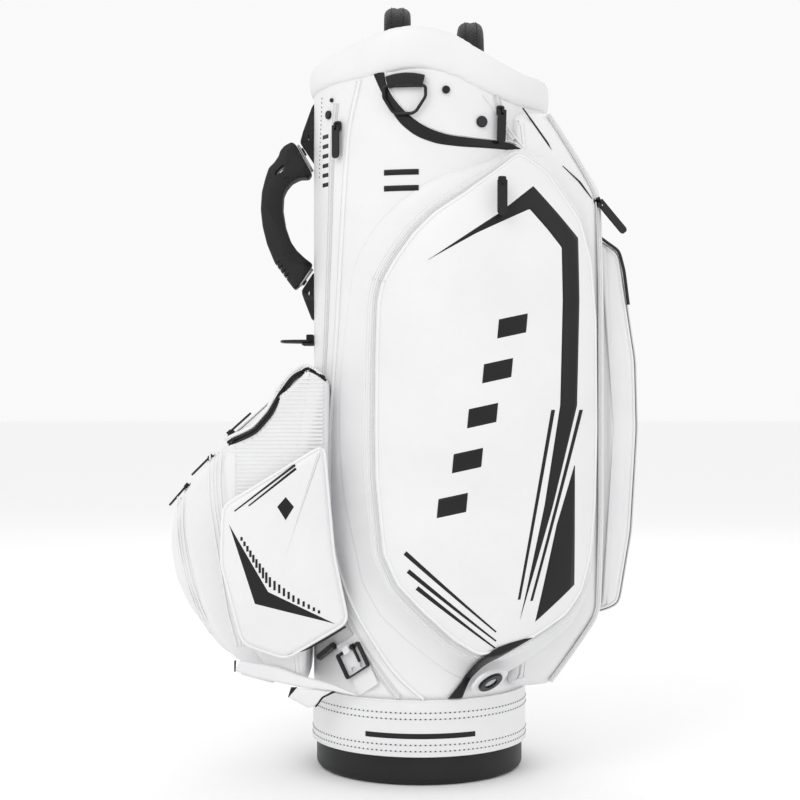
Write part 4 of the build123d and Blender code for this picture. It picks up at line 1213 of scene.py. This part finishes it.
dress("base_band", WHITE)
BAND_OUT = 127.05
threads, hole_shades = [], []
for z in (83.0, 76.0, 47.0, 40.0):
    threads += stitch_grids(*ring_path(BAND_OUT, z), spacing=5.6, length=3.6)
    # Dark bars between the stitches: painted shade of the needle holes.
    hole_shades += stitch_grids(*ring_path(BAND_OUT - 0.25, z), spacing=5.6, length=1.5, radius=0.75,
        shift=0.5)
piece("band_stitches", threads, THREAD, "band_white")
piece("band_needle_hole_shade", hole_shades, HOLE_SHADE, "band_white")
band_lines = [carry(ring_path(127.0, z)[0], superellipse(0.9, 0.9, 10), (0, 0, 1)) for z in (96.6,
    34.6)]
piece("band_piping", band_lines, PIPING, "band_white")
badge = inlay([(-62, 54), (62, 54)], [(-62, 60), (62, 60)], lambda x, z: -np.sqrt(127.0**2 - x**2),
    rows=80, columns=7)
both("band_bar", [badge], GLOSS, "leather_black")

# %% [markdown]
# ## Lift handles
# Each handle is a padded webbing arch. Its section is a soft rectangle with a seam down the
# middle, carried along an arch in the plane of y and z.


# %% The arches
def arch(x, width, top, thick=24.0):
    crown = top - thick / 2 - 1
    line = smooth_path([(-88, 801), (-84, 830), (-76, crown - 14), (-48, crown), (48, crown), (76,
        crown - 14),
                        (84, 830), (88, 801)], 150, 10)
    path = np.stack([np.full(150, x), line[:, 0], line[:, 1]], axis=1)
    return path, unit(np.stack([np.zeros(150), -np.gradient(line[:, 1]), np.gradient(line[:, 0])],
        axis=1))


for side, x, width, top in (("left", -26, 31, 896), ("right", 59, 29, 879)):
    path, normal = arch(x, width, top)
    section = superellipse(width / 2, 11.5, 36, 2.6)
    groove = 1 - 0.10 * np.exp(-((section[:, 0] / 1.6) ** 2))
    section[:, 1] *= groove
    handle = piece(f"lift_handle_{side}_webbing", [carry(path, section, normal)], WEBBING,
        "handle_black",
                   replaces=[f"lift_handle_{side}"])
    rows = []
    for shift in (-width * 0.22, width * 0.22):
        rows += stitch_grids(path + np.array([shift, 0, 0]) + normal * 11.2, normal, spacing=4.2,
            length=2.8, radius=0.4)
    piece(f"lift_handle_{side}_stitches", rows, SATIN, "handle_black")

# %% [markdown]
# ## Carry grip
# A two-part moulding: a stiff outer shell and a soft inner pad. The outline makes a slab with
# rounded edges, and a boolean cuts the slot and the four comb notches, because they go through.

# %% The grip
GRIP = [(-152, 742.5), (-161, 738), (-166.5, 731.3), (-167.9, 725.5), (-173.7, 717.2), (-179.9,
    711.4), (-184.1, 698.6),
        (-188.2, 682.1), (-189.5, 661.4), (-187.2, 640.8), (-182, 620.1), (-172.7, 597.4), (-156.1,
        574.7),
        (-148.9, 565.3), (-142.7, 570.5), (-133.4, 586), (-127.6, 596.3), (-136.5, 602.5), (-146.8,
        611.9),
        (-155.1, 624.2), (-160.9, 640.8), (-164.4, 661.4), (-163.4, 678), (-159.7, 686.2), (-153,
        694.5),
        (-142.7, 699.7), (-130.8, 699.7), (-128.2, 704.8), (-147.2, 739)]
SPINE_OF_GRIP = [(-155, 733), (-156, 716), (-163, 702), (-174, 685), (-177, 662), (-173, 638),
    (-165, 618), (-155, 600),
                 (-150, 586), (-149, 575)]
PAD = [(-150, 707.5), (-163, 706.5), (-170.6, 702.7), (-178.9, 686.2), (-183, 665.5), (-179.9,
    655.2), (-171.6, 644.9),
       (-166.4, 630.4), (-165.5, 607.7), (-155.1, 598.4), (-132.4, 592.2), (-127.4, 596.5),
       (-136.2, 602.9), (-146.2, 612.4),
       (-154.4, 624.6), (-160.1, 641), (-163.5, 661.4), (-162.6, 678), (-159, 686), (-152.5, 694),
       (-142.5, 699),
       (-131, 699.2), (-131, 702)]
SPINE_OF_PAD = [(-142, 703), (-160, 699), (-170, 683), (-173, 662), (-167, 644), (-161, 626), (-153,
    608), (-136, 598)]


def ring_slab(outline, spine, near, far, edge, crown):
    """Slab whose caps shrink to a line instead of a point: each outline point goes to its nearest
    place on the spine."""
    line = looped(outline)
    normals = looped(outline_normals(outline))
    centre = resample(spine, 200)
    gap = ((line[:, None] - centre[None]) ** 2).sum(axis=2)
    target = centre[gap.argmin(axis=1)]
    inner = line + (target - line) * edge / np.maximum(np.linalg.norm(target - line, axis=1,
        keepdims=True), 1)
    rings, depths = [], []
    for side, y0 in ((1, near), (-1, far)):
        part_rings, part_depths = [], []
        for share in np.linspace(0, 1, 6)[:-1]:
            part_rings.append(target + (inner - target) * share)
            part_depths.append(np.full(len(line), y0 - side * crown * (1 - share**2)))
        for turn in np.linspace(0, np.pi / 2, 7):
            part_rings.append(inner + (line - inner) * np.sin(turn))
            part_depths.append(np.full(len(line), y0 + side * edge * (1 - np.cos(turn))))
        if side < 0:
            part_rings, part_depths = part_rings[::-1], part_depths[::-1]
        rings += part_rings
        depths += part_depths
    rings, depths = np.array(rings), np.array(depths)
    return np.stack([rings[..., 0], depths, rings[..., 1]], axis=-1)


def swing_room(grid):
    """Depth held in near the hinge line at x = -139, so that no point comes within 0.7 mm of the wall
    13 mm away when the grip turns 50 degrees: a straight limit first, then a circle of 12.3 mm."""
    reach = np.clip(grid[..., 0] + 139.0, 0, 12.2)
    turn = np.radians(50)
    straight = (12.3 - reach * np.cos(turn)) / np.sin(turn)
    limit = np.where(reach < 12.3 * np.cos(turn), straight, np.sqrt(12.3**2 - reach**2))
    held = grid.copy()
    held[..., 1] = np.clip(grid[..., 1], -limit, limit)
    return held


grip_line = soften(GRIP, 300, 1.8)
grip_grid = swing_room(ring_slab(grip_line, SPINE_OF_GRIP, -13.5, 13.5, 5, 1.0))
grip = piece("carry_grip_shell", [grip_grid], SATIN, "handle_black",
             body="carry_grip", replaces=["carry_grip"])
lean = np.radians(48)
slot = superellipse(8.0, 2.5, 24, 2.2) @ np.array([[np.cos(lean), np.sin(lean)], [-np.sin(lean),
    np.cos(lean)]])
cutters = [slot + np.array([-166.2, 707.6])]
INWARD = np.array([0.56, 0.83])
ACROSS = np.array([0.83, -0.56])
for share in np.linspace(0.14, 0.80, 4):
    foot = np.array([-172.7, 597.4]) * (1 - share) + np.array([-156.1, 574.7]) * share
    notch = np.array([foot + INWARD * 8.5, foot - INWARD * 4 - ACROSS * 2.3,
        foot - INWARD * 4 + ACROSS * 2.3])
    cutters.append(resample(notch[::-1], 12, closed=True))
cutter_grids = []
for ring in cutters:
    closed_ring = looped(ring)
    middle = np.repeat(ring.mean(axis=0)[None], len(closed_ring), axis=0)
    layers = zip((middle, closed_ring, closed_ring, middle), (-22, -22, 22, 22))
    cutter_grids.append(np.stack([at_depth(layer, y) for layer, y in layers]))
cutter = bpy.data.objects.new("grip_cutter", grids_mesh("grip_cutter", cutter_grids))
bpy.context.scene.collection.objects.link(cutter)
carve = grip.modifiers.new("slot and notches", "BOOLEAN")
carve.operation, carve.object, carve.solver = "DIFFERENCE", cutter, "EXACT"
bake(grip)
bpy.data.objects.remove(cutter)
print("grip faces after carving", len(grip.data.polygons))
pad_line = soften(PAD, 240, 1.5)
pad_grid = swing_room(ring_slab(pad_line, SPINE_OF_PAD, -14.6, 14.6, 2.4, 0.9))
piece("carry_grip_pad", [pad_grid], RUBBER, "handle_black", body="carry_grip")


def plate(start, end, deep, thick):
    """Flat bar from start to end in x and z, deep across the bag, with rounded long edges."""
    path = np.array([(x, 0, z) for x, z in resample([start, end], 8)])
    return carry(path, superellipse(deep, thick, 24, 3),
        unit(np.cross(path[-1] - path[0], (0, 1, 0)))[None].repeat(8, 0))


bars = [swing_room(plate(*ends, 11.0, 1.5)) for ends in
        (((-144.6, 738.5), (-127.8, 708.2)), ((-142.6, 570.6), (-128.0, 591.2)))]
piece("carry_grip_plates", bars, PALE_METAL, "handle_black", body="carry_grip")
stems = [plate((-141.0, 735.4), (-136.6, 727.4), 4.2, 2.0), plate((-140.0, 572.2), (-136.0, 577.8),
    4.2, 2.0)]
piece("carry_grip_stems", stems, SATIN, "handle_black", body="carry_grip")

# %% [markdown]
# ## Webbing that holds the grip
# A tab of webbing above and one below are sewn into the spine. Both are slabs like the grip. They
# are folded thin where the grip swings past, because a straight slab would stand in its way.

# %% The two anchors
ANCHORS = [
    ([(-122.5, 791), (-128, 784), (-142.3, 744.5), (-142.3, 741.5), (-124.1, 714), (-121, 714),
    (-120, 750)],
     [(-125, 780), (-133, 748), (-126, 725)]),
    ([(-121, 586), (-127.2, 586), (-140.6, 565.5), (-140.4, 561), (-128.3, 530), (-122, 529),
    (-120, 560)],
     [(-125, 580), (-133, 562), (-126, 538)]),
]


def folded(grid, thin_from, thick_from):
    """Webbing folded thin where the grip swings past it: half depth 3.2 mm, growing to 13 mm away
    from the grip."""
    made = grid.copy()
    share = np.clip((grid[..., 2] - thin_from) / (thick_from - thin_from), 0, 1)
    made[..., 1] *= (3.2 + 9.8 * share) / 13.0
    return made


anchors = [
    folded(ring_slab(soften(outline, 160, 1.0), spine, -13.0, 13.0, 1.6, 0.0), *levels)
    for (outline, spine), levels in zip(ANCHORS, ((744.0, 754.0), (562.0, 553.0)))
]
piece("grip_anchors", anchors, WEBBING, "webbing_black", replaces=["grip_webbing"])

# %% [markdown]
# ## Ring tabs
# A wide folded tab of webbing holds each top ring by its straight bar.

# %% The top ring tabs
tabs = []
tab_x = np.linspace(-37, 3, 40)
tab_z = 791.5 + 3.0 * (1 - ((tab_x + 17) / 20) ** 2)
tab_path = np.stack([tab_x, tube_depth(tab_x, tab_z) - 4.6, tab_z - 1.0], axis=1)
tab_up = np.broadcast_to((0, -1, 0), tab_path.shape)
tab_grid = carry(tab_path, superellipse(3.9, 7.2, 28, 3.4)[:, ::-1], tab_up)
piece("top_ring_webbing", [tab_grid] + flipped([tab_grid]), WEBBING, "webbing_black",
    replaces=["top_ring_tabs"])

# %% [markdown]
# ## Shoulder strap
# A flat webbing strap hangs on the far side, looped through the far ring. The strap itself rides
# on no body; its stitches and its sleeve ride on the bag.

# %% The strap and its pad
LEAN = np.arctan2(172.0, 650.6)
ROUTE = [(141, 16), (158, 90), (169, 280), (166, 470), (146, 600), (128, 654), (104, 667), (-72,
    667)]
LOOP = [(127.4, 18), (127.4, 6), (128.4, -0.6), (131.6, -2.6), (135.4, 0), (138.6, 8), (141, 16)]


def hang(line):
    """(y, down) on the leaning plane becomes x = -17 - down sin(lean), z = 758 - down cos(lean)."""
    return np.stack([-17 - line[:, 1] * np.sin(LEAN), line[:, 0], 758 - line[:, 1] * np.cos(LEAN)],
        axis=1)


route = smooth_path(ROUTE, 260, 16)
strap_line = np.vstack([smooth_path(LOOP, 40, 1.6)[:-1], route])
strap_path = hang(strap_line)
plane_normal = np.array([-np.cos(LEAN), 0, np.sin(LEAN)])
strap_up = unit(np.cross(unit(np.gradient(strap_path, axis=0)), plane_normal))
strap = piece("strap_webbing", [carry(strap_path, superellipse(19.5, 1.4, 24, 4), strap_up)], WHITE,
    "strap_white",
              body=None, replaces=["shoulder_strap"])
strap_rows = []
for shift in (-16.0, 16.0):
    across = np.cross(unit(np.gradient(strap_path, axis=0)), strap_up) * shift
    strap_rows += stitch_grids((strap_path + across + strap_up * 1.35)[60:], strap_up[60:],
        spacing=6.0, length=4.0)
piece("strap_stitches", strap_rows, THREAD, "strap_white")
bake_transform(strap)
pad_along = (route[:, 1] > 110) & (route[:, 1] < 410)
pad_route = resample(route[pad_along], 140)
sleeve_up = unit(np.cross(unit(np.gradient(hang(pad_route), axis=0)), plane_normal))
ease = np.clip(np.minimum(np.linspace(0, 12, 140), np.linspace(12, 0, 140)), 0, 1)
ease = 0.72 + 0.28 * np.sqrt(1 - (1 - ease) ** 2)
sleeve_path = hang(pad_route) + sleeve_up * 6.9
sleeve = piece("strap_sleeve",
    [carry(sleeve_path, superellipse(30.5, 4.4, 40, 3.4), sleeve_up, ease)], WHITE,
               "strap_white", replaces=["strap_pad"])
sleeve_seams = np.vstack([
    sleeve_path + np.cross(unit(np.gradient(sleeve_path, axis=0)),
    sleeve_up) * shift + sleeve_up * side * 3.6
    for shift in (-25.0, 25.0) for side in (-1, 1)
])


def near_sleeve_seams(points):
    """Within 3 mm of either row of stitches, on both faces."""
    gap = ((points[:, None] - sleeve_seams[None]) ** 2).sum(axis=2).min(axis=1)
    return gap < 3.0**2


stuffed(sleeve, near_sleeve_seams, voxel=3.5, pressure=4.0, cap=1.8)
rows = []
for shift in (-25.0, 25.0):
    across = np.cross(unit(np.gradient(sleeve_path, axis=0)), sleeve_up) * shift
    seam_path = (sleeve_path + across + sleeve_up * 4.0)[12:-12]
    found = [sleeve.closest_point_on_mesh(place)[1] for place in seam_path * MM]
    seam_path = np.array([tuple(place) for place in found]) / MM + sleeve_up[12:-12] * 0.2
    rows += stitch_grids(seam_path, sleeve_up[12:-12], spacing=5.5, length=3.8)
piece("strap_sleeve_stitches", rows, THREAD, "strap_white")

# %% The lower strap and its flap
UNDER_TOP = [(-204, 139), (-161, 132), (-136, 122.5), (-98, 112.5), (-76, 103)]
UNDER_LOW = [(-210, 127.5), (-185, 119.3), (-131, 108.4), (-98, 105), (-70, 99.3)]


def under_depth(x, z):
    """The lower strap leaves the ball pocket's face and comes in to the band at its right end."""
    return np.interp(x, (-215, -125, -70), (-109.5, -109.0, -112.0)) + 0 * z


under = inlay(UNDER_LOW, UNDER_TOP, under_depth, proud=2.2, rows=110, columns=13, radius=4)
piece("lower_strap_band", [under], WHITE, "strap_white", replaces=["lower_strap"])
FLAP_TOP = [(-139.6, 107.5), (-120, 107), (-96.6, 105)]
FLAP_LOW = [(-149.8, 97.7), (-126, 85.3), (-120.4, 87.5)]
flap = inlay(FLAP_LOW, FLAP_TOP, flat_depth(-108.6), proud=0.9, rows=60, columns=11, radius=1)
piece("lower_strap_flap", [flap], WHITE, "strap_white")
flap_edges = [
    inlay([(-146.4, 109), (-149.8, 97.7)], [(-139.1, 109), (-148.6, 97.9)], flat_depth(-108.8),
    rows=30, proud=0.9),
    inlay([(-119.5, 87), (-111.8, 98.2), (-96.6, 106)], [(-117.5, 86.5), (-109.6, 96.8), (-93.6,
    104.5)], flat_depth(-109.2),
          rows=50, proud=0.9),
    inlay([(-210.5, 139), (-210.5, 127)], [(-208.2, 140), (-208.8, 127)], flat_depth(-110.5),
    rows=20, proud=0.9),
]
piece("lower_strap_black", flap_edges, GLOSS, "leather_black")

# %% [markdown]
# ## Floor, light and camera
# A plain pale floor and a bright plain surround show white leather without hard shadows. One large
# lamp at the left shapes the tube, and two weaker ones open the shade and lift the back edge.

# %% Floor
floor_mesh = bpy.data.meshes.new("floor")
floor_mesh.from_pydata([(-30, -30, 0), (30, -30, 0), (30, 30, 0), (-30, 30, 0)], [], [(0, 1, 2, 3)])
floor = bpy.data.objects.new("floor", floor_mesh)
bpy.context.scene.collection.objects.link(floor)
floor_look = finish("pale floor", (0.94, 0.94, 0.94), (0.96, 0.96, 0.96), (0.85, 0.95), scale=30.0,
    depth=0.0)
floor_mesh.materials.append(floor_look)


# %% Lights
def area_light(name, place, aim, size, power):
    lamp = bpy.data.lights.new(name, "AREA")
    lamp.shape = "RECTANGLE"
    lamp.size, lamp.size_y = size
    lamp.energy = power
    held = bpy.data.objects.new(name, lamp)
    bpy.context.scene.collection.objects.link(held)
    away = np.array(place, float) - np.array(aim, float)
    held.rotation_euler = Vector(away).to_track_quat("Z", "Y").to_euler()
    held.location = place
    return held


area_light("key", (-1.6, -2.4, 2.6), (0, 0, 0.45), (1.8, 1.8), 24)
area_light("fill", (2.2, -1.8, 1.4), (0, 0, 0.45), (1.6, 2.0), 5)
area_light("back", (0.4, 2.4, 2.4), (0, 0, 0.5), (2.0, 1.6), 12)
world = bpy.data.worlds.new("studio")
bpy.context.scene.world = world
world.use_nodes = True
world.node_tree.nodes["Background"].inputs[0].default_value = (1, 1, 1, 1)
world.node_tree.nodes["Background"].inputs[1].default_value = 0.95
bpy.context.scene.view_settings.view_transform = "Standard"

# %% Camera
camera_data = bpy.data.cameras.new("camera")
SENSOR = 36.0
FOCAL_SHARE = 1583.0 / 800
camera_data.lens = SENSOR * FOCAL_SHARE
camera_data.sensor_width = SENSOR
camera = bpy.data.objects.new("camera", camera_data)
camera.location = (-0.023, -1.9, 0.434)
camera.rotation_euler = (np.pi / 2, 0, 0)
bpy.context.scene.collection.objects.link(camera)
bpy.context.scene.camera = camera
